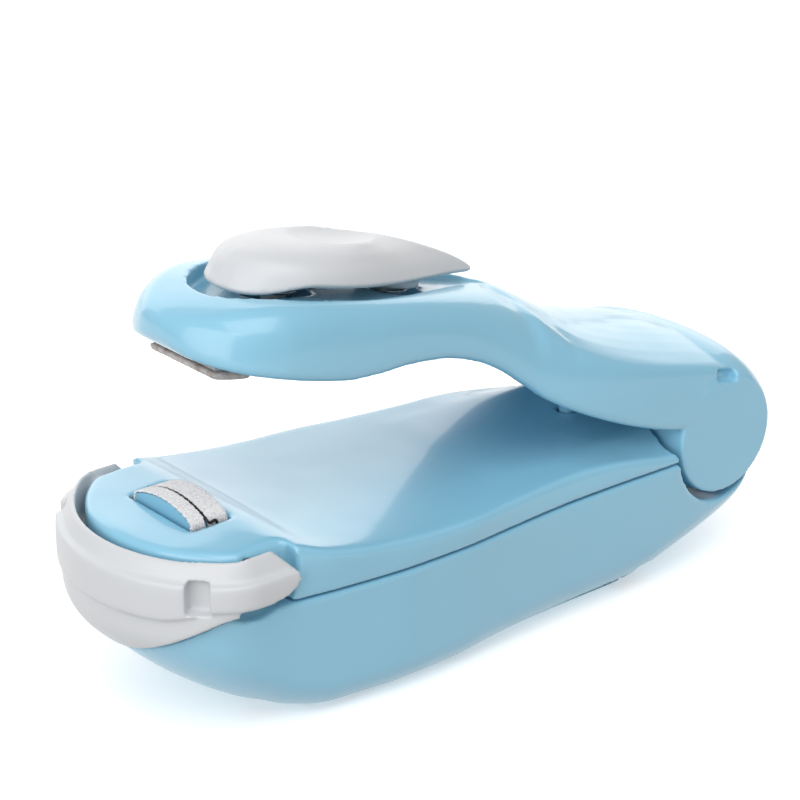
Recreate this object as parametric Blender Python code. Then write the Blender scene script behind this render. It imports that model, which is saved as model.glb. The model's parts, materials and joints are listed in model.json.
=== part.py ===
"""Handheld bag heat sealer: a battery-powered clamp that seals the edge of a plastic bag.

Frame: metres, +Z up, nose at -X, lever hinge at +X, the sealer standing on its underside at Z = 0.
Every size below is in millimetres and turned into metres when a mesh is made.
The lever, its press pad and its jaw are drawn shut, then turned open about the hinge by LEVER_OPEN_DEG.
"""

import math

import bmesh
import bpy
import numpy as np
from mathutils import Matrix, Vector

MM = 0.001
SIDES = ((-1, "right"), (1, "left"))

# Driving dimensions, in millimetres and degrees.
WALL = 1.8
PARTING_Z = 17.6
PARTING_GAP = 0.2
HINGE = Vector((42.8, 0.0, 19.2))
LEVER_OPEN_DEG = 12.1
CHEEK_FACE = 16.2
CHEEK_INNER = 9.5
EAR_OUTER = 9.2
EAR_INNER = 6.2
EAR_RADIUS = 6.6
PIN_RADIUS = 1.5
PIN_BORE = 1.56
NOTCH_GAP = 1.2

GUARD_PIVOT = Vector((-38.0, 0.0, 22.5))
NOSE_FRONT = -47.3
NOSE_HALF = 15.6
NOSE_ARC = 19.6
NOSE_CORNER = 3.0
ARM_END_X = -32.6
STEP_RADIUS = 5.9

CELL_RADIUS = 7.25
CELL_LENGTH = 49.5
CELL_Y = 7.4
CELL_Z = 9.6
CELL_MIDDLE_X = -0.3

HEATER_X = -36.95
HEATER_HALF_X = 2.6
HEATER_HALF_Y = 5.9
HEATER_CROWN_Z = 27.0
HEATER_END_Z = 25.8
WIRE_X = HEATER_X - 0.4
GROOVE_HALF = 0.35
STRIP_THICK = 0.3

RECESS_FLOOR_Z = 34.6
STEM_X = (-27.0, -9.0)
STEM_RADIUS = 1.6
STEM_BORE = 2.0

DOOR_REAR_X = 25.4
DOOR_FRONT_X = -27.0
DOOR_HALF_Y = 14.6
DOOR_AXIS = Vector((24.6, 0.0, 0.9))

SWITCH_X = 28.0

LINER_SCREW_X = -20.0
LINER_SCREW_Y = 7.0

SCREW_PLACES = ((-33.3, -10.9), (-33.3, 10.9), (28.8, -13.1), (28.8, 13.1))

# Half-width, heights and corner radii of the lower body against X.
BODY_WIDTH = (
    (-49.3, 0.8), (-48.9, 4.0), (-48.0, 7.3), (-46.5, 10.7), (-44.5, 13.6), (-42.5, 15.6), (-40.5, 16.8),
    (-38.0, 17.5), (-33.0, 18.0), (-22.3, 19.1), (-15.8, 19.6), (-7.9, 19.4), (1.4, 18.6), (14.6, 17.6),
    (26.2, 17.3), (36.0, 17.3), (42.0, 17.0), (46.0, 16.6), (49.0, 15.6), (51.5, 13.5), (53.0, 10.8),
    (54.2, 6.5), (54.6, 1.5),
)
DECK_WIDTH = (
    (-49.3, 0.8), (-40.5, 16.8), (-36.0, 17.6), (-32.6, 17.9), (-27.6, 19.1), (-22.6, 19.6), (-7.6, 19.8),
    (2.4, 18.5), (7.4, 17.8), (14.6, 17.2), (36.0, 17.2), (49.0, 15.2), (51.5, 13.1), (54.6, 1.5),
)
DECK_HEIGHT = (
    (-49.3, 24.5), (-38.0, 25.0), (-34.0, 25.2), (-32.6, 25.0), (-27.6, 23.5), (-22.6, 22.6), (-17.6, 22.0),
    (-10.0, 21.5), (2.0, 21.3), (15.0, 21.3), (20.0, 21.0), (27.0, 20.0), (33.0, 19.0), (40.0, 18.7),
    (54.6, 18.0),
)
BOTTOM_HEIGHT = (
    (-49.3, 15.6), (-48.9, 13.6), (-48.0, 11.6), (-46.5, 9.6), (-44.5, 7.6), (-42.0, 5.6), (-37.0, 2.9),
    (-31.0, 0.8), (-26.0, 0.0), (22.0, 0.0), (26.0, 0.2), (30.0, 0.9), (35.0, 2.1), (42.6, 4.1), (46.5, 5.4),
    (49.5, 6.7), (52.0, 8.7), (53.5, 10.7), (54.6, 13.4),
)
CORNER_ACROSS = (
    (-49.3, 0.7), (-46.5, 9.0), (-42.0, 12.0), (-36.0, 9.0), (-30.0, 6.5), (-25.0, 5.5), (-8.0, 5.5),
    (5.0, 6.5), (28.0, 6.5), (38.0, 7.5), (50.0, 8.0), (54.6, 1.4),
)
CORNER_UP = (
    (-49.3, 1.6), (-46.5, 6.5), (-42.0, 8.0), (-36.0, 7.0), (-30.0, 5.5), (-25.0, 5.0), (-8.0, 5.0),
    (5.0, 6.0), (28.0, 6.0), (38.0, 6.5), (49.0, 6.0), (54.6, 3.0),
)
BODY_STATIONS = (
    -49.3, -48.9, -48.0, -46.5, -44.5, -42.5, -40.0, -37.0, -33.8, -31.5, -28.0, -23.0, -16.0, -8.0, 0.0, 7.0,
    14.0, 20.0, 25.0, 30.0, 34.0, 38.0, 42.0, 46.0, 49.0, 51.5, 53.0, 54.2, 54.6,
)
CAVITY_STATIONS = (-31.0, -28.0, -23.0, -16.0, -8.0, 0.0, 7.0, 14.0, 20.0, 25.0, 32.6)
SPINE_TOP = 21.5
SPINE_HALF = 11.0

# The same for the lever, drawn shut.
LEVER_WIDTH = (
    (-44.2, 1.6), (-43.9, 3.4), (-43.2, 5.4), (-42.0, 7.8), (-40.0, 10.4), (-37.0, 12.6), (-33.0, 13.9),
    (-27.0, 14.4), (-20.0, 14.2), (-14.0, 13.6), (-8.0, 13.1), (-3.0, 12.9), (2.0, 13.2), (6.0, 13.8),
    (10.0, 14.6), (15.0, 15.6), (20.0, 16.2), (26.0, 16.4), (43.5, 16.1),
)
LEVER_TOP = (
    (-44.2, 32.4), (-43.9, 33.0), (-43.2, 33.8), (-42.0, 34.6), (-40.0, 35.6), (-37.0, 36.7), (-33.0, 37.5),
    (-25.0, 37.9), (-5.0, 37.8), (3.0, 37.6), (8.0, 36.9), (12.8, 35.5), (17.0, 34.0), (22.7, 32.8),
    (30.7, 31.9), (38.7, 31.5), (43.5, 31.0),
)
LEVER_BOTTOM = (
    (-44.2, 31.0), (-43.9, 30.2), (-43.2, 29.5), (-42.0, 29.0), (-40.0, 28.7), (-36.0, 28.5), (-25.0, 28.2),
    (-20.0, 28.8), (-14.0, 29.8), (-8.0, 30.2), (-3.0, 29.7), (2.0, 28.3), (6.0, 26.4), (10.0, 24.4),
    (18.0, 22.1), (26.0, 20.6), (31.0, 20.0), (36.0, 19.8), (43.5, 19.7),
)
SHOULDER_WIDTH = (
    (-44.2, 0.8), (-43.2, 3.0), (-40.0, 6.6), (-36.0, 9.2), (-30.0, 10.4), (-20.0, 10.2), (-10.0, 8.8),
    (-3.0, 6.8), (3.0, 4.2), (6.5, 3.2), (9.7, 7.6), (13.7, 11.8), (17.0, 13.6), (24.0, 14.9), (43.5, 15.3),
)
SHOULDER_DROP = (
    (-44.2, 0.2), (-36.0, 0.4), (-10.0, 0.3), (3.0, 0.4), (8.0, 0.9), (11.7, 2.4), (13.7, 3.2), (20.0, 3.2),
    (34.0, 2.8), (43.5, 2.7),
)
LEVER_STATIONS = (
    -44.2, -43.9, -43.2, -42.0, -40.0, -37.0, -33.0, -27.0, -20.0, -14.0, -8.0, -3.0, 2.0, 5.0, 8.0, 10.0,
    13.0, 16.0, 20.0, 26.0, 31.0, 36.0, 43.5,
)

# The press pad: how far each level is set in from its widest outline, and where its front edge lies.
PAD_INSET = (
    (38.3, 1.4), (38.55, 0.6), (39.0, 0.0), (39.8, 0.15), (40.6, 0.5), (41.4, 1.2), (42.1, 2.1), (42.6, 3.1),
    (43.1, 4.4), (43.4, 5.6),
)
PAD_DROP = 2.0
PAD_FRONT = (
    (38.3, -35.2), (38.55, -36.0), (39.0, -36.5), (39.8, -35.9), (40.6, -35.0), (41.4, -33.4), (42.1, -31.0),
    (42.6, -28.5), (43.1, -24.5), (43.4, -20.0),
)

# The ledge round the pad's recess: its height where the pad's lower edge is level.
LEDGE_Z = 36.6


def through(points):
    """A smooth curve through (x, value) points that never overshoots between two of them."""
    xs = np.array([p[0] for p in points], float)
    ys = np.array([p[1] for p in points], float)
    gaps = np.diff(xs)
    slopes = np.diff(ys) / gaps
    tangents = np.zeros(len(xs))
    tangents[0] = slopes[0]
    tangents[-1] = slopes[-1]
    for i in range(1, len(xs) - 1):
        if slopes[i - 1] * slopes[i] > 0:
            before = 2 * gaps[i] + gaps[i - 1]
            after = gaps[i] + 2 * gaps[i - 1]
            tangents[i] = (before + after) / (before / slopes[i - 1] + after / slopes[i])

    def value(x):
        x = min(max(x, xs[0]), xs[-1])
        i = min(int(np.searchsorted(xs, x, side="right")) - 1, len(xs) - 2)
        t = (x - xs[i]) / gaps[i]
        return float(
            (1 + 2 * t) * (1 - t) ** 2 * ys[i]
            + t * (1 - t) ** 2 * gaps[i] * tangents[i]
            + t * t * (3 - 2 * t) * ys[i + 1]
            + t * t * (t - 1) * gaps[i] * tangents[i + 1]
        )

    return value


body_width = through(BODY_WIDTH)
deck_width = through(DECK_WIDTH)
deck_height = through(DECK_HEIGHT)
bottom_height = through(BOTTOM_HEIGHT)
corner_across = through(CORNER_ACROSS)
corner_up = through(CORNER_UP)
lever_width = through(LEVER_WIDTH)
lever_top = through(LEVER_TOP)
lever_bottom = through(LEVER_BOTTOM)
shoulder_width = through(SHOULDER_WIDTH)
shoulder_drop = through(SHOULDER_DROP)


def smoothstep(low, high, x):
    t = min(max((x - low) / (high - low), 0.0), 1.0)
    return t * t * (3 - 2 * t)


# Scene, materials and collections.
for startup_object in list(bpy.data.objects):
    bpy.data.objects.remove(startup_object, do_unlink=True)

parts = bpy.data.collections.new("bag_heat_sealer")
cutters = bpy.data.collections.new("cutters")
bpy.context.scene.collection.children.link(parts)
bpy.context.scene.collection.children.link(cutters)


def material(name, colour, roughness, metallic=0.0):
    made = bpy.data.materials.new(name)
    made.use_nodes = True
    shader = made.node_tree.nodes["Principled BSDF"]
    shader.inputs["Base Color"].default_value = (*colour, 1.0)
    shader.inputs["Roughness"].default_value = roughness
    shader.inputs["Metallic"].default_value = metallic
    made.diffuse_color = (*colour, 1.0)
    return made


BLUE = material("blue_gloss_plastic", (0.42, 0.70, 0.86), 0.22)
WHITE = material("white_satin_plastic", (0.83, 0.85, 0.87), 0.35)
GREY = material("grey_inner_plastic", (0.45, 0.47, 0.50), 0.5)
BLACK = material("black_switch_plastic", (0.03, 0.03, 0.03), 0.45)
CLOTH = material("glass_cloth", (0.86, 0.86, 0.86), 0.9)
SILICONE = material("jaw_silicone", (0.45, 0.37, 0.32), 0.65)
STEEL = material("spring_steel", (0.62, 0.62, 0.63), 0.3, 1.0)
BRASS = material("plated_contact", (0.75, 0.65, 0.40), 0.35, 1.0)
NICHROME = material("heater_wire_alloy", (0.20, 0.19, 0.20), 0.45, 1.0)
CELL_SKIN = material("battery_sleeve", (0.10, 0.12, 0.16), 0.3)
MAGNET = material("magnet_ferrite", (0.09, 0.09, 0.10), 0.6)
LEAD_RED = material("lead_red", (0.55, 0.04, 0.03), 0.5)
LEAD_BLACK = material("lead_black", (0.02, 0.02, 0.02), 0.5)


def pivot_empty(name, place, turn_deg=0.0):
    empty = bpy.data.objects.new(name, None)
    empty.location = place * MM
    empty.rotation_euler = (0.0, math.radians(turn_deg), 0.0)
    parts.objects.link(empty)
    return empty


lever_pivot = pivot_empty("lever_pivot", HINGE, LEVER_OPEN_DEG)
guard_pivot = pivot_empty("guard_pivot", GUARD_PIVOT)
door_pivot = pivot_empty("door_pivot", DOOR_AXIS)
bpy.context.view_layer.update()

# A pivot, with the point in the drawing's frame that it stands at.
ON_LEVER = (lever_pivot, HINGE)
ON_GUARD = (guard_pivot, GUARD_PIVOT)
ON_DOOR = (door_pivot, DOOR_AXIS)


def add_mesh(name, mesh_data, finish=None, pivot=None):
    """An object from a bmesh in millimetres: a part with its finish, or a cutter where it has none."""
    bmesh.ops.recalc_face_normals(mesh_data, faces=mesh_data.faces)
    bmesh.ops.triangulate(mesh_data, faces=[face for face in mesh_data.faces if len(face.verts) > 4])
    shift = -pivot[1] if pivot else Vector((0.0, 0.0, 0.0))
    for vert in mesh_data.verts:
        vert.co = (vert.co + shift) * MM
    mesh = bpy.data.meshes.new(name)
    mesh_data.to_mesh(mesh)
    mesh_data.free()
    mesh.shade_smooth()
    mesh.set_sharp_from_angle(angle=math.radians(35))
    made = bpy.data.objects.new(name, mesh)
    if pivot:
        made.parent = pivot[0]
    if finish:
        mesh.materials.append(finish)
        parts.objects.link(made)
    else:
        made.hide_render = True
        made.display_type = "WIRE"
        cutters.objects.link(made)
    return made


def loft(name, rings, finish=None, pivot=None):
    """A closed solid through rings of equal length, with both end rings capped."""
    shape = bmesh.new()
    rows = [[shape.verts.new(point) for point in ring] for ring in rings]
    count = len(rows[0])
    for near, far in zip(rows, rows[1:]):
        for i in range(count):
            j = (i + 1) % count
            shape.faces.new((near[i], near[j], far[j], far[i]))
    for row in (rows[0], rows[-1]):
        middle = shape.verts.new(sum((vert.co for vert in row), Vector()) / count)
        for i in range(count):
            shape.faces.new((row[i], row[(i + 1) % count], middle))
    return add_mesh(name, shape, finish, pivot)


def plate(name, outline, low, high, along="Y", finish=None, pivot=None):
    """A flat outline, in the other two axes in order, given thickness along one axis."""
    shape = bmesh.new()

    def point(pair, depth):
        if along == "X":
            return (depth, pair[0], pair[1])
        if along == "Y":
            return (pair[0], depth, pair[1])
        return (pair[0], pair[1], depth)

    near = [shape.verts.new(point(pair, low)) for pair in outline]
    far = [shape.verts.new(point(pair, high)) for pair in outline]
    shape.faces.new(near)
    shape.faces.new(far)
    for i in range(len(outline)):
        j = (i + 1) % len(outline)
        shape.faces.new((near[i], near[j], far[j], far[i]))
    return add_mesh(name, shape, finish, pivot)


def block(name, low, high, finish=None, pivot=None):
    """A box between two corners."""
    shape = bmesh.new()
    bmesh.ops.create_cube(shape, size=1.0)
    low = Vector(low)
    high = Vector(high)
    for vert in shape.verts:
        share = vert.co + Vector((0.5, 0.5, 0.5))
        vert.co = low + Vector(share[i] * (high - low)[i] for i in range(3))
    return add_mesh(name, shape, finish, pivot)


def slab(name, low_z, high_z, seam_y=0.37):
    """A wide box in two halves along its length, so that no face it cuts through a ring has a hole."""
    shape = bmesh.new()
    rows = []
    for z in (low_z, high_z):
        for y in (-31.0, seam_y, 31.0):
            rows.append([shape.verts.new((x, y, z)) for x in (-72.0, 72.0)])
    low_near, low_seam, low_far, high_near, high_seam, high_far = rows
    sides = (
        (low_near, low_seam), (low_seam, low_far), (high_near, high_seam), (high_seam, high_far),
        (low_near, high_near), (low_far, high_far),
    )
    for near, far in sides:
        shape.faces.new((near[0], near[1], far[1], far[0]))
    for i in (0, 1):
        shape.faces.new([row[i] for row in (low_near, low_seam, low_far, high_far, high_seam, high_near)])
    return add_mesh(name, shape)


def tilted_block(name, middle, size, turn_deg, pivot=None):
    """A box about its middle, turned about the vertical."""
    shape = bmesh.new()
    bmesh.ops.create_cube(shape, size=1.0)
    turn = Matrix.Rotation(math.radians(turn_deg), 3, "Z")
    for vert in shape.verts:
        vert.co = turn @ Vector(vert.co[i] * size[i] for i in range(3)) + Vector(middle)
    return add_mesh(name, shape, pivot=pivot)


def rod(name, start, end, radius, finish=None, pivot=None, sides=24, end_radius=None):
    """A round bar, or a cone frustum where the end radius differs."""
    start = Vector(start)
    end = Vector(end)
    length = (end - start).length
    shape = bmesh.new()
    bmesh.ops.create_cone(
        shape,
        cap_ends=True,
        segments=sides,
        radius1=radius,
        radius2=radius if end_radius is None else end_radius,
        depth=length,
    )
    turn = Vector((0.0, 0.0, 1.0)).rotation_difference(end - start).to_matrix()
    for vert in shape.verts:
        vert.co = turn @ vert.co + (start + end) / 2
    return add_mesh(name, shape, finish, pivot)


def wire(name, points, radius, finish, pivot=None):
    """A bent wire as a bevelled curve with closed ends."""
    curve = bpy.data.curves.new(name, "CURVE")
    curve.dimensions = "3D"
    curve.bevel_depth = radius * MM
    curve.bevel_resolution = 2
    curve.use_fill_caps = True
    spline = curve.splines.new("POLY")
    spline.points.add(len(points) - 1)
    shift = -pivot[1] if pivot else Vector((0.0, 0.0, 0.0))
    for target, point in zip(spline.points, points):
        target.co = (*((Vector(point) + shift) * MM), 1.0)
    made = bpy.data.objects.new(name, curve)
    if pivot:
        made.parent = pivot[0]
    curve.materials.append(finish)
    parts.objects.link(made)
    return made


def combine(target, other, operation):
    step = target.modifiers.new(other.name, "BOOLEAN")
    step.operation = operation
    step.object = other
    step.solver = "MANIFOLD"


def cut(target, *others):
    for other in others:
        combine(target, other, "DIFFERENCE")


def join(target, *others):
    for other in others:
        combine(target, other, "UNION")


def keep(target, other):
    combine(target, other, "INTERSECT")


def both_sides(half):
    """A whole closed ring from its right half, which starts and ends on the middle plane."""
    return list(half) + [(x, -y, z) for x, y, z in reversed(half[1:-1])]


def circle(middle, radius, count, start_deg=0.0, end_deg=360.0, closed=True):
    """Points on an arc in a plane, as pairs."""
    steps = count if closed else count - 1
    angles = [math.radians(start_deg + (end_deg - start_deg) * i / steps) for i in range(count)]
    return [(middle[0] + radius * math.cos(a), middle[1] + radius * math.sin(a)) for a in angles]


# The lower body's outside, from nose to tail.
def body_half_ring(x, inset=0.0):
    """The right half of the lower body's section, from the middle of its underside to its deck's."""
    bottom = bottom_height(x) + inset
    width = body_width(x)
    low_width = max(width - 0.7, 0.6 * width) - inset
    across = min(corner_across(x), low_width * 0.98)
    up = corner_up(x)
    edge_width = max(deck_width(x), 0.8) - inset
    edge = deck_height(x) - inset
    spine = max(0.0, SPINE_TOP - inset - edge) * smoothstep(2.0, 8.0, x)
    crown = 0.5 - 0.25 * smoothstep(-37.0, -29.0, x)
    ring = [(x, 0.0, bottom), (x, (low_width - across) * 0.6, bottom)]
    for i in range(5):
        a = math.pi / 2 * i / 4
        ring.append((x, low_width - across + across * math.sin(a), bottom + up * (1 - math.cos(a))))
    ring.append((x, width - inset, PARTING_Z))
    bevel = min(0.9, 0.12 * edge_width)
    ring.append((x, edge_width, edge - 0.9))
    ring.append((x, edge_width - 0.28 * bevel, edge - 0.25))
    ring.append((x, edge_width - bevel, edge))
    for share in (0.86, 0.75, 0.64, 0.35):
        y = edge_width * share
        rise = spine * (1 - smoothstep(SPINE_HALF, SPINE_HALF + 3.6, y)) + crown * (1 - share * share)
        ring.append((x, y, edge + rise))
    ring.append((x, 0.0, edge + spine + crown))
    return ring


def body_form(name, stations, inset=0.0, finish=None):
    return loft(name, [both_sides(body_half_ring(x, inset)) for x in stations], finish)


# The nose: a straight-sided platform with a round front, and every outline parallel to it.
def nose_path():
    """Points round the nose from the right arm to the left one, each with the outward direction there."""
    corner_x = -27.7 - math.sqrt((NOSE_ARC - NOSE_CORNER) ** 2 - (NOSE_HALF - NOSE_CORNER) ** 2)
    corner_y = NOSE_HALF - NOSE_CORNER
    middle_x = NOSE_FRONT + NOSE_ARC
    meet = math.atan2(corner_y, middle_x - corner_x)
    half = [(x, NOSE_HALF, 0.0, 1.0) for x in (ARM_END_X, -36.0)]
    for i in range(5):
        a = math.pi / 2 + (meet - math.pi / 2) * i / 4
        out = (-math.cos(a), math.sin(a))
        half.append((corner_x + NOSE_CORNER * out[0], corner_y + NOSE_CORNER * out[1], *out))
    for i in range(1, 7):
        a = meet * (1 - i / 6)
        out = (-math.cos(a), math.sin(a))
        half.append((middle_x + NOSE_ARC * out[0], NOSE_ARC * out[1], *out))
    other = [(x, -y, out_x, -out_y) for x, y, out_x, out_y in half[:-1]]
    return other + half[::-1]


def nose_outline(offset):
    return [(x + offset * out_x, y + offset * out_y) for x, y, out_x, out_y in nose_path()]


def band_bottom(x):
    """Height of the lower edge of the guard's band, which drops towards the front."""
    return 17.3 + 1.8 * smoothstep(-45.5, -40.5, x)


def skirt_bottom(x, y):
    """Height of the lower edge of the guard's chin, deepest in the middle."""
    return min(10.4 + 7.4 * (abs(y) / 15.0) ** 1.85, band_bottom(x) - 0.2)


def chin_out(z):
    """How far the guard's chin stands outside the nose at a height."""
    return 3.3 - 3.0 * max(0.0, (17.0 - z) / 6.7) ** 3.2


def guard_section(x, y):
    """The guard's cross-section as (distance outside the nose, height), from the inner top edge outwards."""
    band = band_bottom(x)
    low = skirt_bottom(x, y)
    rise = 0.4 * smoothstep(-45.0, -36.5, x)
    section = [(1.1, 24.6 + rise), (1.5, 24.7 + rise), (2.5, 23.2 + 0.5 * rise), (2.75, 22.8 + 0.3 * rise)]
    section += [(3.6, 22.5 + 0.2 * rise), (3.8, 22.1), (3.75, band + 0.3), (3.35, band)]
    for i in range(1, 5):
        z = band - 0.1 + (low - band + 0.1) * i / 4
        section.append((min(3.2, chin_out(z)), z))
    for i in range(4):
        z = low + 0.1 + (band - low) * i / 4
        section.append((min(0.5, chin_out(z) - 1.7), z))
    section.append((0.5, band + 0.8))
    return section


def guard_room_section(x, y):
    """The space cut from the body for the guard, a little larger than the guard inwards and downwards."""
    low = skirt_bottom(x, y) - 0.45
    floor = min(low, band_bottom(x) - 0.5)
    section = [(-0.9, 40.0), (12.0, 40.0), (12.0, floor)]
    for i in range(5):
        z = floor + (17.2 - floor) * i / 4 if floor < 17.0 else floor + 0.1 * i
        section.append((min(0.0, chin_out(z) - 2.2), z))
    section += [(0.0, 24.2), (-0.3, 24.75), (-0.9, 25.0)]
    return section


def sweep_nose(name, section_at, finish=None, pivot=None):
    rings = []
    for x, y, out_x, out_y in nose_path():
        rings.append([(x + k * out_x, y + k * out_y, z) for k, z in section_at(x, y)])
    return loft(name, rings, finish, pivot)


# The lever's rear end: a barrel about the hinge, wider in radius at its top and back than below.
def barrel_radius(y, angle_deg):
    share = abs(y) / CHEEK_FACE
    high = 12.0 - 2.7 * share**2.4 - 0.9 * share**9
    low = 9.3 - 0.9 * share**2.4
    if angle_deg > 180.0:
        angle_deg -= 360.0
    upper = smoothstep(-55.0, 5.0, angle_deg) * (1 - smoothstep(100.0, 170.0, angle_deg))
    return low + (high - low) * upper


def barrel(name, grow=0.0, half=CHEEK_FACE, finish=None, pivot=None, steps=12, sides=30):
    rings = []
    for i in range(steps + 1):
        y = half * math.sin(math.pi / 2 * (2 * i / steps - 1))
        ring = []
        for j in range(sides):
            angle = 360.0 * j / sides
            radius = barrel_radius(min(abs(y), CHEEK_FACE), angle) + grow
            a = math.radians(angle)
            ring.append((HINGE.x + radius * math.cos(a), y, HINGE.z + radius * math.sin(a)))
        rings.append(ring)
    return loft(name, rings, finish, pivot)


# The base.
def make_base():
    guard_room = sweep_nose("guard_room", guard_room_section)
    arm_room_right = rod("arm_room_right", (-38, -30, 22.5), (-38, -NOSE_HALF, 22.5), STEP_RADIUS, sides=32)
    arm_room_left = rod("arm_room_left", (-38, NOSE_HALF, 22.5), (-38, 30, 22.5), STEP_RADIUS, sides=32)
    arm_top_right = block("arm_top_right", (-60, -30, 22.5), (-32.4, -NOSE_HALF, 40))
    arm_top_left = block("arm_top_left", (-60, NOSE_HALF, 22.5), (-32.4, 30, 40))
    lever_room = barrel("lever_room", NOTCH_GAP, 25.0, pivot=ON_LEVER)
    wall_room = barrel("wall_room", NOTCH_GAP + WALL, 26.0, pivot=ON_LEVER)

    cavity = body_form("cavity", CAVITY_STATIONS, WALL)
    right = [(-30.3, -13.4), (-38.0, -13.4), (-41.3, -10.9), (-43.2, -7.5)]
    nose_plan = right + [(x, -y) for x, y in reversed(right)]
    nose_cavity = plate("nose_cavity", nose_plan, 9.0, 21.6, "Z")
    nose_well = block("nose_well", (-36.6, -12.3, 4.7), (-30.5, 12.3, 10.0))
    join(cavity, nose_cavity, nose_well)
    cut(cavity, wall_room)

    above = slab("above_parting", PARTING_Z - PARTING_GAP / 2, 60)
    below = slab("below_parting", -10, PARTING_Z + PARTING_GAP / 2)
    opening_half = DOOR_HALF_Y + 0.3
    opening_low = (DOOR_FRONT_X - 0.3, -opening_half, -5)
    opening = block("door_opening", opening_low, (DOOR_REAR_X + 0.6, opening_half, 5))

    shell = body_form("base_shell", BODY_STATIONS, finish=BLUE)
    cover = body_form("deck_cover", BODY_STATIONS, finish=BLUE)
    cut(shell, above)
    cut(cover, below)
    for piece in (shell, cover):
        cut(piece, cavity, guard_room, arm_room_right, arm_room_left, lever_room)
    cut(cover, arm_top_right, arm_top_left)
    cut(shell, opening)
    return shell, cover


def underside(x, y):
    """Height of the lower body's outside at a point of its underside."""
    width = body_width(x)
    low_width = max(width - 0.7, 0.6 * width)
    across = min(corner_across(x), low_width * 0.98)
    past = max(0.0, abs(y) - (low_width - across)) / across
    return bottom_height(x) + corner_up(x) * (1 - math.sqrt(max(0.0, 1 - past * past)))


def make_screw_seats(shell, cover):
    for i, (x, y) in enumerate(SCREW_PLACES):
        floor = max(underside(x + a, y + b) for a, b in circle((0.0, 0.0), 2.4, 12))
        post = rod(f"shell_post_{i}", (x, y, floor + 0.3), (x, y, 12.0), 2.4, sides=16)
        hole = rod(f"shell_hole_{i}", (x, y, floor - 3.0), (x, y, 13.0), 1.2, sides=16)
        seat = rod(f"shell_seat_{i}", (x, y, floor - 5.0), (x, y, floor + 2.4), 2.2, sides=16)
        upper = rod(f"cover_post_{i}", (x, y, 12.4), (x, y, deck_height(x) - 1.0), 1.8, sides=16)
        pilot = rod(f"cover_pilot_{i}", (x, y, 12.0), (x, y, 17.8), 1.15, sides=16)
        join(shell, post)
        cut(shell, hole, seat)
        join(cover, upper)
        cut(cover, pilot)
        head_low = floor + 0.5
        screw = rod(f"case_screw_{i + 1}", (x, y, head_low), (x, y, head_low + 1.6), 1.9, STEEL, sides=16)
        shank = rod(f"case_shank_{i}", (x, y, head_low + 1.0), (x, y, 16.8), 0.95, sides=12)
        slot_low = head_low - 1
        slot_high = head_low + 0.8
        slot_x = block(f"case_slot_long_{i}", (x - 1.3, y - 0.25, slot_low), (x + 1.3, y + 0.25, slot_high))
        slot_y = block(f"case_slot_wide_{i}", (x - 0.25, y - 1.3, slot_low), (x + 0.25, y + 1.3, slot_high))
        join(screw, shank)
        cut(screw, slot_x, slot_y)


def make_ears(cover):
    """Two ears of the deck cover that hold the hinge pin, with the web that carries them."""
    for side, name in SIDES:
        low, high = sorted((side * EAR_INNER, side * EAR_OUTER))
        disc = circle((HINGE.x, HINGE.z), EAR_RADIUS, 17, 100.0, -120.0, closed=False)
        web = [(33.4, 17.9), (29.6, 17.9), (29.6, 20.4), (37.0, 22.4)]
        ear = plate(f"ear_{name}", web + disc, low, high)
        join(cover, ear)
    bore = rod("ear_bore", (HINGE.x, -12, HINGE.z), (HINGE.x, 12, HINGE.z), PIN_BORE)
    cut(cover, bore)


def make_guard(cover):
    guard = sweep_nose("guard", guard_section, WHITE, ON_GUARD)
    side_view = [(-60.0, 5.0), (-41.5, 5.0), (-41.0, 19.0), (-37.3, 19.1), (-34.6, 19.6), (-33.2, 20.5)]
    side_view += [(-32.7, 21.4), (-33.0, 22.5), (-34.9, 24.4), (-35.8, 25.6), (-60.0, 30.0)]
    keep(guard, plate("guard_side_view", side_view, -30, 30, pivot=ON_GUARD))
    for side, name in SIDES:
        boss_start = (-38, side * 14.3, 22.5)
        boss = rod(f"guard_boss_{name}", boss_start, (-38, side * 16.6, 22.5), 1.4, pivot=ON_GUARD)
        join(guard, boss)
        socket = rod(f"guard_socket_{name}", (-38, side * 11.0, 22.5), (-38, side * 20.0, 22.5), 1.6)
        cut(cover, socket)
        middle = (-46.0, side * 15.9, 20.6)
        window = tilted_block(f"guard_window_{name}", middle, (3.0, 6.0, 4.2), side * 50.0, ON_GUARD)
        cut(guard, window)


# The heater in the nose.


def arch(y, rise=0.0):
    """Height of the heater's arched top, with the ends bending down into the platform."""
    share = min(abs(y) / HEATER_HALF_Y, 1.0)
    return HEATER_CROWN_Z - (HEATER_CROWN_Z - HEATER_END_Z) * share**2 + rise


def arch_band(name, x_low, x_high, inner, outer, finish, down_to):
    """A strip bent over the arch and down both ends."""
    ys = [HEATER_HALF_Y * math.sin(math.pi / 2 * i / 5) for i in range(-5, 6)]
    top = [(y * (1 + outer / HEATER_HALF_Y), arch(y, outer)) for y in ys]
    under = [(y * (1 + inner / HEATER_HALF_Y), arch(y, inner)) for y in ys]
    ends = [(HEATER_HALF_Y + outer, down_to), (HEATER_HALF_Y + inner, down_to)]
    outline = top + ends + under[::-1] + [(-y, z) for y, z in ends[::-1]]
    return plate(name, outline, x_low, x_high, "X", finish)


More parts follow.
